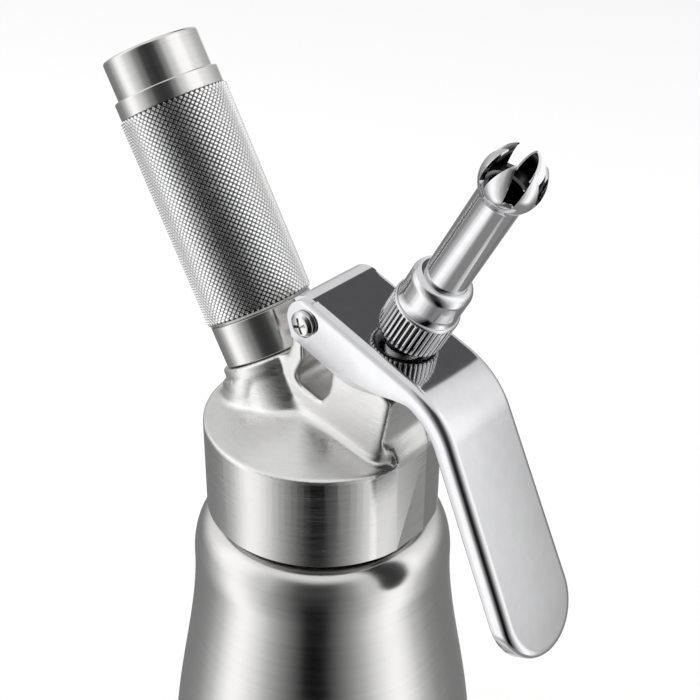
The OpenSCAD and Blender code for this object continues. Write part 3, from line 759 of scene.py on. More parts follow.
@dataclass
class Bottle:
    """The pressure bottle and the neck ring welded into its mouth. Sizes in millimetres."""

    foot_edge: float = 6.0
    recess: float = 2.0
    wall: float = 1.2
    shoulder: float = 35.1
    shoulder_height: float = 13.5
    shoulder_gap: float = 2.4
    taper: float = 74.0
    neck: float = 26.5
    neck_wall: float = 3.4
    thread_pitch: float = 4.0
    thread_depth: float = 0.75

    def outline(self) -> list[tuple[float, float]]:
        """Returns the outer line from the foot's flat up to the mouth, as radius and height."""
        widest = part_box("bottle")[1].x / MM
        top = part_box("bottle")[1].z / MM
        taper_top = top - self.shoulder_height
        lip = self.neck + 0.6
        line = []
        for k in range(13):
            turn = math.radians(-90 + 90 * k / 12)
            line.append(
                (
                    widest - self.foot_edge + self.foot_edge * math.cos(turn),
                    self.foot_edge + self.foot_edge * math.sin(turn),
                )
            )
        for k in range(25):
            t = k / 24
            line.append((widest + (self.shoulder - widest) * smooth_step(t), taper_top - self.taper * (1 - t)))
        for k in range(1, 25):
            turn = math.radians(90 * k / 24)
            line.append(
                (
                    lip + (self.shoulder - lip) * math.cos(turn),
                    taper_top + self.shoulder_height * math.sin(turn),
                )
            )
        line.append((self.neck + 0.02, top))
        return line

    def section(self) -> list[tuple[float, float]]:
        """Returns the closed section of the bottle's sheet."""
        line = self.outline()
        inner = []
        for k, point in enumerate(line):
            before, after = Vector(line[max(k - 1, 0)]), Vector(line[min(k + 1, len(line) - 1)])
            along = (after - before).normalized()
            inner.append((point[0] - along.y * self.wall, point[1] + along.x * self.wall))
        inner[-1] = (inner[-1][0], line[-1][1] - self.wall)
        foot = line[0][0] - 4.0
        under = [(0.0, self.recess), (foot - 2.5, self.recess), (foot - 1.2, self.recess - 0.5), (foot, 0.0)]
        floor = [(foot + 1, self.wall), (foot - 1, self.recess + self.wall), (0.0, self.recess + self.wall)]
        return under + line + inner[::-1] + floor

    def build(self) -> None:
        """Builds the bottle and its neck ring."""
        mesh = bmesh.new()
        spun(mesh, self.section(), 192)
        bottle = new_object("bottle_shell", mesh)
        shade(bottle, 40)
        seat(bottle, "bottle", "bottle", BOTTLE_FINISH.material("bottle_satin"), "bottle")
        low, high = (corner.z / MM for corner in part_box("neck_ring"))
        core = self.neck - self.thread_depth
        inner = self.neck - self.neck_wall
        corners = [
            Corner(inner, low),
            Corner(self.neck - 0.5, low, 0.4),
            Corner(self.neck + 1.6, low + 1.0, 0.3),
            Corner(self.neck + 1.6, low + 1.7, 0.2),
            Corner(self.neck + 0.4, low + 2.0),
            Corner(core, low + 2.0),
            Corner(core, high, 0.6),
            Corner(inner, high, 0.6),
        ]
        ring = turned("neck_ring_body", corners, Matrix.Identity(4), 160)
        material = INNER_FINISH.material("neck_steel")
        seat(ring, "bottle", "neck_ring", material, "neck_ring")
        foot = high - 14.5
        crest = [
            (core - 0.1, foot - 1.0),
            (self.neck, foot - 0.3),
            (self.neck, foot + 0.3),
            (core - 0.1, foot + 1.0),
        ]
        thread = helix("neck_thread", crest, [(3.2, self.thread_pitch)], 96, Matrix.Identity(4))
        seat(thread, "bottle", "neck_ring", material)


# ---- The head -----------------------------------------------------------------------


@dataclass
class HeadCasting:
    """The cast head. Its turned collar keeps the frame's own faces; its dome, bosses and web flow together."""

    split_below_edge: float = 1.0
    voxel: float = 0.46
    all_over_passes: int = 5
    blend_passes: int = 45
    blend_reach: float = 4.2
    collar_height: float = 26.5
    dome_rise: float = 8.5
    crisp_from: float = 10.5
    boss_rim: tuple[float, float] = (9.0, 16.0)
    valve_bore_zone: float = 6.9
    hinge_bore_zone: float = 3.2

    def __post_init__(self) -> None:
        """Reads the collar's places from the frame, in metres."""
        low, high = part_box("head")
        self.radius = high.y
        self.edge = low.z + self.collar_height * MM
        self.holder = joint_axis("holder_unscrew")
        self.valve = joint_axis("nozzle_unscrew")
        self.hinge = hinge_point()

    def above_dome(self, point: Vector) -> float:
        """Returns how far a point lies above the plain dome, in metres."""
        around = math.hypot(point.x, point.y)
        return point.z - (self.edge + self.dome_rise * MM * (1 - around / self.radius))

    def blend_weight(self, point: Vector) -> float:
        """Says how much the casting's foot blends at a point.

        Args:
            point: a point on the casting.

        Returns:
            1 at the foot of the web and bosses, falling to 0 away from it and outside the dome.
        """
        around = math.hypot(point.x, point.y)
        if around > self.radius - 1.6 * MM or point.z < self.edge - 0.1 * MM:
            return 0.0
        rise = abs(self.above_dome(point)) / (self.blend_reach * MM)
        # the rim of the charger's boss stays crisp
        if self.holder.split(point)[0] / MM > self.crisp_from:
            return 0.0
        return 1 - smooth_step(rise)

    def machined(self, point: Vector) -> bool:
        """Says whether a point lies on a face that a tool cut after casting."""
        if point.z < self.edge + 0.3 * MM:
            return True
        along, off = self.holder.split(point)
        if along / MM > self.boss_rim[0] and off.length / MM < self.boss_rim[1]:
            return True
        near_valve = self.valve.split(point)[1].length / MM < self.valve_bore_zone
        return near_valve or (point - self.hinge).xz.length < self.hinge_bore_zone * MM

    def upper(self) -> Piece:
        """Builds the flowing upper part and returns it."""
        whole = new_object("head_casting", cad_copy("head"))
        remesh = whole.modifiers.new("skin", "REMESH")
        remesh.mode = "VOXEL"
        remesh.voxel_size = self.voxel * MM
        remesh.adaptivity = 0.0
        apply_modifiers(whole)
        mesh = bmesh.new()
        mesh.from_mesh(whole.data)
        soft = [v for v in mesh.verts if not self.machined(v.co)]
        self.smoothed(mesh, soft, self.all_over_passes)
        self.smoothed(mesh, [v for v in soft if self.blend_weight(v.co) > 0.15], self.blend_passes)
        self.keep_side(mesh, above=True)
        mesh.to_mesh(whole.data)
        mesh.free()
        whole.data.shade_smooth()
        return whole

    @staticmethod
    def smoothed(mesh: BMesh, verts: list[bmesh.types.BMVert], passes: int) -> None:
        """Smooths some of a mesh's corners a number of times."""
        for _ in range(passes):
            bmesh.ops.smooth_vert(
                mesh, verts=verts, factor=0.5, use_axis_x=True, use_axis_y=True, use_axis_z=True
            )

    def keep_side(self, mesh: BMesh, above: bool) -> None:
        """Cuts a mesh at the split in the collar and keeps one side."""
        cut = self.edge - self.split_below_edge * MM
        bmesh.ops.bisect_plane(
            mesh,
            geom=mesh.verts[:] + mesh.edges[:] + mesh.faces[:],
            dist=SAME,
            plane_co=(0, 0, cut),
            plane_no=(0, 0, 1),
            clear_inner=above,
            clear_outer=not above,
        )

    def build(self) -> None:
        """Builds the head's two skins."""
        lower = cad_copy("head")
        self.keep_side(lower, above=False)
        collar = new_object("head_collar", lower)
        shade(collar, 9)
        seat(collar, "head", "head", COLLAR_FINISH.material("collar_satin"), "head")
        casting = self.upper()
        seat(casting, "head", "head", CASTING_FINISH.material("casting_satin"))


# ---- The charger holder -------------------------------------------------------------


@dataclass
class ChargerHolder:
    """The holder's tube with its band and cap, the knurled grip, and the stub that it screws onto."""

    band: float = 13.8
    band_length: float = 10.9
    tube: float = 12.7
    bore: float = 9.6
    grip: float = 14.4
    grip_length: float = 57.0
    smooth_band: float = 13.9
    vent: float = 0.8
    knurls_round: int = 60
    knurls_along: int = 40
    knurl_depth: float = 0.5
    knurl_inset: float = 0.33
    thread: float = 11.55
    end_room: float = 0.6

    def __post_init__(self) -> None:
        """Reads the holder's axis and lengths from the frame."""
        self.axis = joint_axis("holder_unscrew")
        self.place = self.axis.frame()
        self.low, self.top = self.axis.span("holder_core")
        self.grip_low, self.grip_top = self.axis.span("holder_grip")
        self.stub_top = self.axis.span("inlet_stub")[1]
        self.charger_top = self.axis.span("charger")[1]

    def core(self) -> None:
        """Builds the tube with its band and cap."""
        stop, shelf = self.charger_top + self.end_room, self.stub_top + self.end_room
        band_top = self.low + self.band_length
        corners = [
            Corner(self.thread, self.low, 0.2),
            Corner(self.band, self.low, 0.35),
            Corner(self.band, band_top, 0.25),
            Corner(self.tube, band_top),
            Corner(self.tube, self.top, 0.75),
            Corner(0.0, self.top),
            Corner(0.0, stop),
            Corner(self.bore, stop),
            Corner(self.bore, shelf),
            Corner(self.thread, shelf),
        ]
        core = turned("holder_tube", corners, self.place, 160)
        turn = Matrix.Rotation(math.radians(-67), 4, "Z")
        place = self.place @ turn @ Matrix.Translation(((self.bore + self.vent - 0.2) * MM, 0, 0))
        vent = rod("vent", self.vent, self.charger_top - 3, self.top + 5, place, 24)
        combine(core, [vent], "DIFFERENCE")
        shade(core)
        seat(core, "holder", "holder_core", BAND_FINISH.material("band_satin", self.place), "holder_core")

    def knurl(self) -> Piece:
        """Builds the diamond knurl as raised, flat-topped diamonds and returns it."""
        low, high = self.grip_low + 0.75, self.grip_low + self.grip_length - 0.25
        mesh = bmesh.new()
        floor = self.grip - self.knurl_depth
        bmesh.ops.create_cone(
            mesh,
            cap_ends=False,
            segments=self.knurls_round,
            radius1=floor * MM,
            radius2=floor * MM,
            depth=(high - low) * MM,
            matrix=Matrix.Translation((0, 0, (low + high) / 2 * MM)),
        )
        uprights = [e for e in mesh.edges if abs(e.verts[0].co.z - e.verts[1].co.z) > MM]
        bmesh.ops.subdivide_edges(mesh, edges=uprights, cuts=self.knurls_along - 1, use_grid_fill=True)
        straight = mesh.edges[:]
        bmesh.ops.poke(mesh, faces=mesh.faces[:], center_mode="MEAN")
        inner = [e for e in straight if e.is_valid and len(e.link_faces) == 2]
        bmesh.ops.dissolve_edges(mesh, edges=inner, use_verts=False)
        for vert in mesh.verts:
            around = Vector((vert.co.x, vert.co.y)).normalized() * floor * MM
            vert.co.x, vert.co.y = around
        diamonds = [f for f in mesh.faces if len(f.verts) == 4]
        bmesh.ops.inset_individual(
            mesh, faces=diamonds, thickness=self.knurl_inset * MM, depth=self.knurl_depth * MM
        )
        return placed_object("grip_knurl", mesh, self.place)

    def sleeve(self) -> None:
        """Builds the grip sleeve: the knurl between a bevelled lower rim and the smooth upper band."""
        # the knurl's material paints shade into the floors between the diamonds
        material = KNURL_GROOVE_SHADE_FINISH.material("knurl_metal_groove_shade", self.place)
        knurl = self.knurl()
        floor = self.grip - self.knurl_depth - 0.02
        knurl_top = self.grip_low + self.grip_length
        corners = [
            Corner(self.tube + 0.02, self.grip_low),
            Corner(self.grip - 0.9, self.grip_low, 0.1),
            Corner(self.grip - 0.1, self.grip_low + 0.8, 0.1),
            Corner(floor, self.grip_low + 1.0),
            Corner(floor, knurl_top - 0.5),
            Corner(self.smooth_band, knurl_top, 0.1),
            Corner(self.smooth_band, self.grip_top, 0.35),
            Corner(self.tube + 0.02, self.grip_top),
        ]
        sleeve = turned("grip_sleeve", corners, self.place, 144)
        seat(sleeve, "holder", "holder_grip", BAND_FINISH.material("grip_band", self.place), "holder_grip")
        seat(knurl, "holder", "holder_grip", material)

    def build(self) -> None:
        """Builds the holder."""
        self.core()
        self.sleeve()


# ---- The lever ----------------------------------------------------------------------


@dataclass
class Lever:
    """The pressed lever: a tray that curls over the hinge, bends down and ends in a round paddle."""

    half: float = 12.5
    wall: float = 2.1
    fold: float = 2.4
    curl: float = 6.5
    tongue: float = 11.2
    ear: float = 5.7
    slope_deg: float = 20.2
    plate: float = 31.2
    bend: float = 23.0
    paddle_lean_deg: float = 24.8
    paddle: float = 46.2
    paddle_end: float = 13.4
    rim: float = 5.4
    hinge_bore: float = 2.65
    slot: float = 5.2
    slot_length: float = 1.6
    flange_top: float = 33.4
    lug_rise: float = 1.35
    lug: float = 1.2
    lug_off: float = 6.2

    def __post_init__(self) -> None:
        """Works out the lever's frame and the paddle's taper."""
        self.frame = Matrix.Translation(hinge_point()) @ Matrix.Rotation(math.radians(self.slope_deg), 4, "Y")
        self.bend_angle = math.radians(90 - self.slope_deg - self.paddle_lean_deg)
        self.bend_end = self.plate + self.bend * self.bend_angle
        reach = math.hypot(self.half, self.paddle)
        self.taper = math.asin(self.paddle_end / reach) - math.atan2(self.half, self.paddle)
        # the plane of the paddle starts here, in the lever's frame
        self.paddle_foot = (
            self.plate + self.bend * math.sin(self.bend_angle),
            self.curl - self.bend + self.bend * math.cos(self.bend_angle),
        )
        stem = joint_axis("nozzle_unscrew")
        foot = self.frame.inverted() @ stem.foot / MM
        along = self.frame.to_3x3().inverted() @ stem.along
        self.stem_foot, self.stem_along = foot, along
        self.lug_tip = foot + along * (self.flange_top + self.lug_rise)

    def stem_at(self, z: float) -> float:
        """Returns where the stem's axis stands along the lever at a height in the lever's frame."""
        return self.stem_foot.x + self.stem_along.x / self.stem_along.z * (z - self.stem_foot.z)

    def depth(self, s: float) -> float:
        """Returns how far the side walls hang below the outer face, at a distance along the lever."""
        deep = self.curl + self.ear + 1.2
        return deep + (self.rim - deep) * smooth_step((s - 14) / (self.plate - 10))

    def profile(self, depth: float) -> list[tuple[float, float]]:
        """Returns one side's section, inner face to outer: distance in from the edge, and height."""
        inner, edge = 0.8, 0.4
        return (
            arc(self.wall + inner, -self.wall - inner, inner, 90, 180, 3)
            + arc(self.wall - edge, -depth + edge, edge, 0, -90, 3)
            + arc(edge, -depth + edge, edge, -90, -180, 3)
            + arc(self.fold, -self.fold, self.fold, 180, 90, 10)
        )

    def placed(self, s: float, y: float, z: float) -> Vector:
        """Returns where a point of the flat, unbent lever comes to lie in the lever's frame, in metres."""
        if s <= self.plate:
            x, up = s, self.curl + z
        elif s <= self.bend_end:
            turn = (s - self.plate) / self.bend
            x = self.plate + (self.bend + z) * math.sin(turn)
            up = self.curl - self.bend + (self.bend + z) * math.cos(turn)
        else:
            go, cos, sin = s - self.bend_end, math.cos(self.bend_angle), math.sin(self.bend_angle)
            x = self.paddle_foot[0] + go * cos + z * sin
            up = self.paddle_foot[1] - go * sin + z * cos
        return Vector((round(x * MM, 8), round(y * MM, 8), round(up * MM, 8)))

    def stations(self) -> list[tuple[float, float, float, float]]:
        """Returns the outline of the flat lever: a point on its +Y edge and the direction inward there."""
        line = [(-8.0, self.half, 0.0, -1.0)] + [(self.plate * k / 14, self.half, 0.0, -1.0) for k in range(14)]
        line += [(self.plate + (self.bend_end - self.plate) * k / 36, self.half, 0.0, -1.0) for k in range(36)]
        sin, cos = math.sin(self.taper), math.cos(self.taper)
        straight = self.paddle * cos - self.half * sin
        for k in range(10):
            go = straight * k / 10
            line.append((self.bend_end + go * cos, self.half + go * sin, sin, -cos))
        middle = self.bend_end + self.paddle
        for k in range(41):
            turn = (math.pi / 2 + self.taper) * (1 - k / 40)
            out = (math.cos(turn), math.sin(turn))
            line.append((middle + self.paddle_end * out[0], self.paddle_end * out[1], -out[0], -out[1]))
        return line

    def tray(self) -> Piece:
        """Builds the folded sheet from the hinge to the paddle's end and returns it."""
        rings = []
        for s, y, into_s, into_y in self.stations():
            side = [(s + into_s * d, y + into_y * d, z) for d, z in self.profile(self.depth(s))]
            ring = side + [(a, -b, c) for a, b, c in reversed(side)]
            rings.append([self.placed(*point) for point in ring])
        mesh = bmesh.new()
        count = len(rings[0])
        # the underside and inner faces of the sheet get the second material, the painted shade
        swept(mesh, rings, [*range(4), *range(count - 5, count)])
        bmesh.ops.remove_doubles(mesh, verts=mesh.verts[:], dist=SAME)
        bmesh.ops.dissolve_degenerate(mesh, edges=mesh.edges[:], dist=SAME)
        sheet = placed_object("lever_sheet", mesh)
        for name, finish in (("lever_polish", LEVER_FINISH), ("lever_inside_painted_shade", LEVER_INSIDE_SHADE_FINISH)):
            sheet.data.materials.append(finish.material(name, self.frame))
        return sheet

    def outside_ears(self) -> Piece:
        """Builds the solid that leaves the two rounded ears of the sheet's hinge end, and returns it."""
        rim = arc(0, 0, self.ear, 90, 224, 28)
        foot = [(-2.4, -self.ear - 0.75), (0.6, -self.ear - 1.2)]
        outline = [(0, 12), *rim, *foot, (0.6, -12), (-12, -12), (-12, 12)]
        return prism("outside_ears", outline, 40, ON_EDGE)

    def additions(self) -> list[Piece]:
        """Builds the tongue that curls over the hinge and the two lugs that press the stem's flange."""
        outer, inner = arc(0, 0, self.curl, 155, 90, 24), arc(0, 0, self.curl - self.wall, 90, 155, 18)
        deep = self.wall / 2
        curl = outer + [(1.2, self.curl - deep + 0.6), (1.2, self.curl - deep - 0.6)] + inner
        pieces = [prism("tongue", curl, 2 * self.tongue, ON_EDGE)]
        under = self.curl - self.wall + 0.3
        for side in (-1, 1):
            x, z = self.lug_tip.x, self.lug_tip.z
            lug = arc(x, z, self.lug, 180, 360, 12) + [(x + self.lug, under), (x - self.lug, under)]
            place = Matrix.Translation((0, side * self.lug_off * MM, 0)) @ ON_EDGE
            pieces.append(prism("lug", lug, 2 * self.lug, place))
        return pieces

    def openings(self) -> list[Piece]:
        """Builds the solids of the hinge's bore and the slot round the valve stem."""
        bore = prism("bore", arc(0, 0, self.hinge_bore, 0, 354.375, 63), 60, ON_EDGE)
        sheet_middle = self.curl - self.wall / 2
        middle = self.stem_at(sheet_middle)
        back = middle - self.slot_length
        slot = arc(middle, 0, self.slot, -90, 90, 24) + arc(back, 0, self.slot, 90, 270, 24)
        place = Matrix.Translation((0, 0, sheet_middle * MM))
        return [bore, prism("slot", slot, 6.0, place)]

    def build(self) -> None:
        """Builds the lever."""
        lever = self.tray()
        combine(lever, [self.outside_ears()], "DIFFERENCE")
        combine(lever, self.additions(), "UNION")
        combine(lever, self.openings(), "DIFFERENCE")
        bevelled(lever, 0.22, 38)
        lever.data.transform(self.frame)
        # the second slot keeps the painted shade of the lever's inner faces
        inside = lever.data.materials[1]
        seat(lever, "lever", "lever", lever.data.materials[0], "lever")
        lever.material_slots[1].material = inside


# ---- The hinge screws ---------------------------------------------------------------


@dataclass
class HingeScrew:
    """A pan-head screw with a cross recess, one on either side of the hinge."""

    side: int
    node: str
    head: float = 3.4
    height: float = 2.0
    shank: float = 1.49
    length: float = 8.0
    reach: float = 12.65
    cross_turn_deg: float = 20.0
    slit_half: tuple[float, float] = (2.05, 0.36)
    slit_depth: float = 1.9

    def build(self) -> None:
        """Builds the screw."""
        turn = Matrix.Rotation(math.radians(-90 * self.side), 4, "X")
        place = Matrix.Translation(hinge_point() + Vector((0, self.side * self.reach * MM, 0))) @ turn
        corners = [
            Corner(0.0, -self.length),
            Corner(self.shank - 0.3, -self.length),
            Corner(self.shank, -self.length + 0.4),
            Corner(self.shank, 0.01),
            Corner(self.head, 0.01, 0.15),
            Corner(self.head, 0.95, 0.3),
            Corner(self.head - 0.9, 1.72, 0.6),
            Corner(self.head - 2.2, self.height - 0.04),
            Corner(0.0, self.height),
        ]
        screw = turned(self.node + "_body", corners, place, 72)
        cross = []
        for quarter in (0, 90):
            turned_to = Matrix.Rotation(math.radians(quarter + self.cross_turn_deg), 4, "Z")
            slit = place @ turned_to @ Matrix.Translation((0, 0, self.slit_depth * MM))
            x, y = self.slit_half
            cross.append(prism("slit", [(-x, -y), (x, -y), (x, y), (-x, y)], self.slit_depth, slit))
        combine(screw, cross, "DIFFERENCE")
        bevelled(screw, 0.07, 40)
        seat(screw, "head", self.node, SCREW_FINISH.material(self.node + "_chrome", place), self.node)


# ---- The nozzle ---------------------------------------------------------------------


@dataclass
class Nozzle:
    """The nozzle's ribbed adapter and the tube with its slotted tulip.

    Above its middle the tulip is drawn out by stretch, and the solid's tip lies at tip_share of that reach.
    """

    ribs: int = 40
    rib_radius: float = 8.33
    rib_length: float = 10.3
    groove: float = 0.75
    groove_floor: float = 7.0
    rib_points: int = 10
    body: float = 7.63
    bore: float = 4.75
    passage: float = 2.6
    tube: float = 5.33
    tube_bore: float = 4.3
    tulip: float = 7.24
    stretch: float = 1.18
    tip_share: float = 0.76
    petals: int = 6
    slot_turn_deg: float = 4.0
    petal_reach: float = 7.0
    slot_foot: float = -1.4
    slot_halves: tuple[float, float] = (1.2, 2.2)

    def __post_init__(self) -> None:
        """Reads the nozzle's axis and heights from the frame."""
        self.axis = joint_axis("nozzle_unscrew")
        self.place = self.axis.frame()
        self.low, self.high = self.axis.span("nozzle_adapter")
        self.root, tip = self.axis.span("tulip_nozzle")
        self.middle = tip - self.tulip * self.stretch * self.tip_share

    def adapter(self) -> None:
        """Builds the adapter, whose ribs run out in rounded ends."""
        ceiling = self.root - 1.41
        low, top = self.low, self.low + self.rib_length
        outer = self.rib_radius
        # radius, height and how deep the grooves are there
        line = [(self.bore, low, 0.0), (outer - 1.1, low, 0.0), (outer - 0.75, low + 0.05, 0.0)]
        line += [(outer - 0.25, low + 0.3, 0.6), (outer, low + 0.75, 1.0), (outer, low + 2.5, 1.0)]
        line += [(outer, top - 2.5, 1.0), (outer, top - 1.35, 0.9), (outer, top - 1.0, 0.62)]
        line.append((outer, top - 0.75, 0.2))
        line += [(outer, top - 0.62, 0.0), (outer - 0.06, top - 0.35, 0.0), (outer - 0.3, top - 0.08, 0.0)]
        line += [(outer - 0.5, top, 0.0), (self.body + 0.08, top + 0.02, 0.0), (self.body, top + 0.12, 0.0)]
        line += [(self.body, top + 2.5, 0.0), (self.body, self.high - 2.8, 0.0)]
        line += [(r, z, 0.0) for r, z in arc(self.body - 2.4, self.high - 2.4, 2.4, 0, 84, 9)]
        line += [(self.body - 2.29, self.high - 0.03, 0.0), (self.body - 2.29, ceiling + 1.4, 0.0)]
        line += [(self.passage, ceiling + 1.4, 0.0), (self.passage, ceiling, 0.0), (self.bore, ceiling, 0.0)]
        line.append(line[0])
        count = self.ribs * self.rib_points
        rings = []
        for radius, height, share in line:
            ring = []
            for k in range(count):
                turn = 2 * math.pi * k / count
                off = abs(2 * ((k / self.rib_points) % 1.0) - 1)
                r = radius - share * self.groove * smooth_step((off - 0.3) / 0.55)
                ring.append(Vector((r * math.cos(turn), r * math.sin(turn), height)) * MM)
            rings.append(ring)
        mesh = bmesh.new()
        swept(mesh, rings)
        mesh.faces.ensure_lookup_table()
        bmesh.ops.delete(mesh, geom=[mesh.faces[0]], context="FACES_ONLY")
        bmesh.ops.remove_doubles(mesh, verts=mesh.verts[:], dist=SAME)
        adapter = placed_object("adapter_body", mesh, self.place)
        shade(adapter, 40)
        chrome = NOZZLE_FINISH.material("adapter_chrome", self.place)
        ribs = RIB_GROOVE_SHADE_FINISH.material("rib_chrome_groove_shade", self.place)
        seat(adapter, "nozzle", "nozzle_adapter", chrome, "nozzle_adapter")
        adapter.data.materials.append(ribs)
        # the ribbed faces get the chrome with painted shade in the grooves
        for face in adapter.data.polygons:
            along, off = self.axis.split(face.center)
            if low < along / MM < top and off.length > self.groove_floor * MM:
                face.material_index = 1

    def outer(self, z: float) -> float:
        """Returns the tulip's outer radius at a height above its middle."""
        reach = self.tulip * self.stretch if z > 0 else self.tulip
        return self.tulip * math.sqrt(max(0.0, 1 - (z / reach) ** 2))

    def slots(self, foot: float, top: float) -> Piece:
        """Builds the star of slots between the petals, which widen from foot to top, and returns it."""
        rings = []
        for height, half in zip((foot, top), self.slot_halves):
            ring = []
            for k in range(self.petals):
                turn = 2 * math.pi * k / self.petals + math.radians(self.slot_turn_deg)
                out = Vector((math.cos(turn), math.sin(turn)))
                across = Vector((-math.sin(turn), math.cos(turn)))
                near = half / math.tan(math.pi / self.petals)
                for reach in (near, 2 * self.tulip):
                    ring.append(out * reach - across * half)
                ring.append(out * 2 * self.tulip + across * half)
            rings.append([Vector((p.x, p.y, height)) * MM for p in ring])
        mesh = bmesh.new()
        mesh.faces.new(swept(mesh, rings))
        return placed_object("slots", mesh)

    def tulip_tube(self) -> None:
        """Builds the tube with the tulip, whose slots leave pointed petals."""
        neck = -math.sqrt(self.tulip**2 - self.tube**2)
        tip = self.petal_reach
        ledge = -2.6
        line = [(self.tube_bore, self.root), (self.tube, self.root), (self.tube, self.middle + neck - 0.35)]
        line.append((self.tube + 0.08, self.middle + neck - 0.08))
        for k in range(1, 31):
            z = neck + (tip - neck) * k / 30
            line.append((self.outer(z), self.middle + z))
        for k in range(18, -1, -1):
            z = ledge + (tip - ledge) * k / 18
            line.append((self.outer(z) - (1.35 - 0.85 * k / 18), self.middle + z))
        line.append((self.tube_bore, self.middle + ledge))
        mesh = bmesh.new()
        spun(mesh, line, 144)
        tube = new_object("tulip_tube", mesh)
        combine(tube, [self.slots(self.middle + self.slot_foot, self.middle + tip + 0.3)], "DIFFERENCE")
        bevelled(tube, 0.14, 38)
        tube.data.transform(self.place)
        material = NOZZLE_FINISH.material("tulip_chrome", self.place)
        seat(tube, "nozzle", "tulip_nozzle", material, "tulip_nozzle")
        # the bore and the insides of the petals are painted near black, as painted shade inside the tube
        tube.data.materials.append(BORE_SHADE_FINISH.material("tulip_bore_painted_shade", self.place))
        for face in tube.data.polygons:
            out = self.axis.split(face.center)[1]
            if face.normal.dot(out.normalized()) < -0.35 and abs(face.normal.dot(self.axis.along)) < 0.9:
                face.material_index = 1

    def build(self) -> None:
        """Builds the nozzle."""
        self.adapter()
        self.tulip_tube()


# ---- Threads and springs inside -----------------------------------------------------


@dataclass
class Inside:
    """The threads cut into the stub and the stem, and the two wound springs. Sizes in millimetres."""

    valve_coil: tuple[float, float] = (5.05, 0.6)
    valve_pressed: float = 0.737
    check_coil: tuple[float, float] = (2.5, 0.35)
    check_pressed: float = 0.9
    stub_thread: tuple[float, float, float, float] = (11.3, -9.0, 1.2, 1.5)
    stem_thread: tuple[float, float, float, float] = (4.5, -8.5, 1.0, 0.9)

    def spring(self, node: str, body_axis: str, radii: tuple[float, float]) -> None:
        """Winds a round wire into the spring that a CAD node stands for.

        Args:
            node: the CAD node.
            body_axis: the joint whose axis the spring lies on.
            radii: the radius of the coil's middle and of its wire, in millimetres.
        """
        radius, wire = radii
        axis = joint_axis(body_axis)
        low, high = axis.span(node)
        open_rise = (high - low - 6 * wire) / 3
        section = [(radius + x, low + z) for x, z in arc(0, wire, wire, 0, 337.5, 15)]
        stages = [(1, 2 * wire), (3, open_rise), (1, 2 * wire)]
        coil = helix(node + "_wire", section, stages, 40, axis.frame())
        seat(coil, "head", node, WIRE_FINISH.material(node + "_steel"), node)
        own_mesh(coil)

    def threaded(
        self, name: str, body: str, node: str, axis: Axis, size: tuple[float, float, float, float]
    ) -> None:
        """Cuts an outer thread into a copy of a CAD node, which it then stands for.

        Args:
            name: the piece's name.
            body: the CAD body that it moves with.
            node: the CAD node.
            axis: the thread's axis.
            size: the outer radius, the thread's two ends against the node's top, and its pitch.
        """
        radius, below, above, pitch = size
        top = axis.span(node)[1]
        low, high = top + below, top + above
        deep, wide = 0.5 * pitch, 0.62 * pitch
        section = [
            (radius + 0.4, low),
            (radius + 0.4, low + 2 * wide),
            (radius - deep, low + wide + 0.1),
            (radius - deep, low + wide - 0.1),
        ]
        turns = round((high - low - 2 * wide) / pitch * 48) / 48
        piece = new_object(name, cad_copy(node))
        groove = helix(name + "_groove", section, [(turns, pitch)], 48, axis.frame())
        combine(piece, [groove], "DIFFERENCE")
        shade(piece, 30)
        seat(piece, body, node, INNER_FINISH.material(name + "_steel", axis.frame()), node)

    def build(self) -> None:
        """Builds the springs and the threaded pieces."""
        self.spring("valve_spring", "nozzle_unscrew", self.valve_coil)
        self.spring("check_spring", "holder_unscrew", self.check_coil)
        self.threaded("stub_thread", "head", "inlet_stub", joint_axis("holder_unscrew"), self.stub_thread)
        self.threaded("stem_thread", "valve", "valve_stem", joint_axis("nozzle_unscrew"), self.stem_thread)


# ---- The studio ---------------------------------------------------------------------


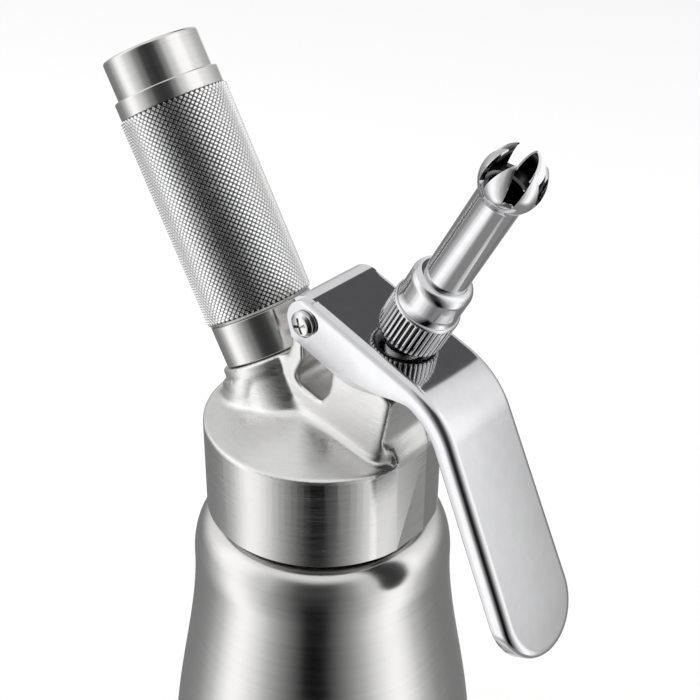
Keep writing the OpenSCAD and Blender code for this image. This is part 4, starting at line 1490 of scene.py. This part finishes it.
@dataclass
class Studio:
    """The camera, the pale floor and the soft light of a product photograph."""

    azimuth_deg: float = 40.048
    elevation_deg: float = 30.562
    roll_deg: float = 0.64
    focal_px: float = 1323.2
    image_px: int = 700
    sensor_mm: float = 36.0
    camera_place: tuple[float, float, float] = (0.19044, -0.21582, 0.37512)
    dark_side_deg: float = -5.0
    dark_patch: tuple[float, float, float] = (-0.093, 0.659, 0.746)
    dark_patch_edge: tuple[float, float] = (0.945, 0.962)
    room_strength: float = 2.4
    floor_half: float = 6.0
    floor_grey: float = 0.82
    floor_clears: tuple[float, float] = (0.055, 0.10)

    def camera(self) -> None:
        """Sets the camera where the photograph was taken from."""
        turn, rise, roll = (math.radians(a) for a in (self.azimuth_deg, self.elevation_deg, self.roll_deg))
        right = Vector((math.cos(turn), math.sin(turn), 0))
        back = Vector((math.sin(turn) * math.cos(rise), -math.cos(turn) * math.cos(rise), math.sin(rise)))
        up = back.cross(right)
        across = right * math.cos(roll) + up * math.sin(roll)
        upward = up * math.cos(roll) - right * math.sin(roll)
        lens = bpy.data.cameras.new("camera")
        lens.sensor_width = self.sensor_mm
        lens.lens = self.focal_px / self.image_px * self.sensor_mm
        lens.clip_start, lens.clip_end = 0.01, 50
        camera = bpy.data.objects.new("camera", lens)
        bpy.context.scene.collection.objects.link(camera)
        camera.matrix_world = Matrix.Translation(self.camera_place) @ Matrix(
            (
                (across.x, upward.x, back.x, 0),
                (across.y, upward.y, back.y, 0),
                (across.z, upward.z, back.z, 0),
                (0, 0, 0, 1),
            )
        )
        bpy.context.scene.camera = camera

    def world(self) -> None:
        """Lights the scene with a pale room whose panels lie to either side, as the metal shows them."""
        world = bpy.data.worlds.new("studio")
        bpy.context.scene.world = world
        world.use_nodes = True
        tree = Tree(world.node_tree)
        background = world.node_tree.nodes["Background"]
        coordinates = tree.add("TexCoord")
        parts = tree.add("SeparateXYZ")
        tree.join(coordinates.outputs["Generated"], parts.inputs["Vector"])
        bearing = tree.math("ARCTAN2", parts.outputs["X"], tree.math("MULTIPLY", parts.outputs["Y"], -1.0))
        away = tree.math("SUBTRACT", bearing, math.radians(self.azimuth_deg + self.dark_side_deg))
        off = tree.math("DIVIDE", tree.math("PINGPONG", away, math.pi), math.pi)
        low = tree.ramp(
            off,
            (
                (0.0, 0.002), (0.05, 0.003), (0.09, 0.05), (0.15, 0.13), (0.21, 0.24),
                (0.28, 0.45), (0.35, 0.62), (0.40, 0.64), (0.45, 0.5), (0.51, 0.28),
                (0.61, 0.14), (0.72, 0.11), (0.84, 0.10), (0.92, 0.12), (1.0, 0.4),
            ),
        )
        high = tree.ramp(
            off,
            (
                (0.0, 0.02), (0.08, 0.03), (0.15, 0.12), (0.25, 0.35), (0.40, 0.62),
                (0.50, 0.64), (0.6, 0.48), (0.8, 0.3), (1.0, 0.4),
            ),
        )
        up = parts.outputs["Z"]
        room = tree.mix(tree.spread(up, (-0.35, 0.25), ease=True), low, high)
        room = tree.mix(tree.spread(up, (0.6, 0.85), ease=True), room, (0.42, 0.42, 0.42))
        room = tree.mix(tree.spread(up, (-0.78, -0.9), ease=True), room, (0.14, 0.14, 0.14))
        # the dark opening behind the bottle that the flat of the lever shows
        toward = tree.vector("DOT_PRODUCT", coordinates.outputs["Generated"], self.dark_patch)
        room = tree.mix(tree.spread(toward, self.dark_patch_edge, ease=True), room, (0.05, 0.05, 0.052))
        bright = tree.add("VectorMath", operation="SCALE")
        bright.inputs["Scale"].default_value = self.room_strength
        tree.join(room, bright.inputs[0])
        # what the camera sees is a plain white room, and matt surfaces are lit evenly
        path = tree.add("LightPath")
        plain = tree.math("ADD", path.outputs["Is Camera Ray"], path.outputs["Is Diffuse Ray"])
        seen = tree.mix(plain, bright.outputs["Vector"], (1, 1, 1))
        tree.join(seen, background.inputs["Color"])
        background.inputs["Strength"].default_value = 1.0

    def floor(self) -> None:
        """Lays the plain pale floor."""
        mesh = bmesh.new()
        bmesh.ops.create_grid(mesh, x_segments=1, y_segments=1, size=self.floor_half)
        floor = new_object("floor", mesh)
        material, tree, shader = new_material("floor_pale")
        shader.inputs["Base Color"].default_value = (self.floor_grey,) * 3 + (1,)
        shader.inputs["Roughness"].default_value = 0.9
        shader.inputs["Specular IOR Level"].default_value = 0.0
        # far from the object the metal sees the room in place of the floor
        reach = tree.vector("LENGTH", tree.add("TexCoord").outputs["Object"])
        far = tree.spread(reach, self.floor_clears, ease=True)
        path = tree.add("LightPath")
        open_floor = tree.math("MULTIPLY", path.outputs["Is Glossy Ray"], far)
        clear = tree.add("BsdfTransparent")
        mix = tree.add("MixShader")
        tree.join(open_floor, mix.inputs["Fac"])
        tree.join(shader.outputs["BSDF"], mix.inputs[1])
        tree.join(clear.outputs["BSDF"], mix.inputs[2])
        tree.join(mix.outputs["Shader"], tree.tree.nodes["Material Output"].inputs["Surface"])
        floor.data.materials.append(material)

    def lamp(self, name: str, place: tuple[float, float, float], size: float, power: float) -> None:
        """Adds a soft square lamp that points at the object's middle."""
        data = bpy.data.lights.new(name, "AREA")
        data.shape = "SQUARE"
        data.size = size
        data.energy = power
        lamp = bpy.data.objects.new(name, data)
        bpy.context.scene.collection.objects.link(lamp)
        lamp.location = place
        lamp.rotation_euler = (Vector((0, 0, 0.12)) - Vector(place)).to_track_quat("-Z", "Y").to_euler()
        lamp.visible_glossy = False

    def build(self) -> None:
        """Sets up the studio."""
        self.camera()
        self.world()
        self.floor()
        self.lamp("key_lamp", (-0.7, -0.5, 1.2), 0.9, 6.0)
        self.lamp("fill_lamp", (0.9, 0.5, 1.0), 0.9, 3.0)


def dress_inner_pieces() -> None:
    """Gives the CAD nodes that stay as they are their materials."""
    steel = INNER_FINISH.material("inner_steel")
    rubber = RUBBER_FINISH.material("seal_rubber")
    charger = CHARGER_FINISH.material("charger_steel")
    seals = ("head_gasket", "check_plug", "charger_gasket", "valve_o_ring", "valve_seal", "nozzle_gasket")
    finishes = {"charger": charger, **{name: rubber for name in seals}}
    for name, node in frame["nodes"].items():
        if not node.hide_render:
            dress(node, finishes.get(name, steel))


def main() -> None:
    """Builds the studio and every piece of the object."""
    logging.basicConfig(level=logging.INFO, format="%(name)s: %(message)s")
    bpy.context.scene.view_settings.view_transform = "Standard"
    GROUPS["turning_lines"] = turning_lines()
    GROUPS["handling_marks"] = handling_marks()
    Studio().build()
    near, far = HingeScrew(-1, "hinge_screw_near"), HingeScrew(1, "hinge_screw_far")
    for part in (Bottle(), HeadCasting(), ChargerHolder(), Lever(), near, far, Nozzle(), Inside()):
        part.build()
    dress_inner_pieces()


if __name__ == "__main__":
    main()
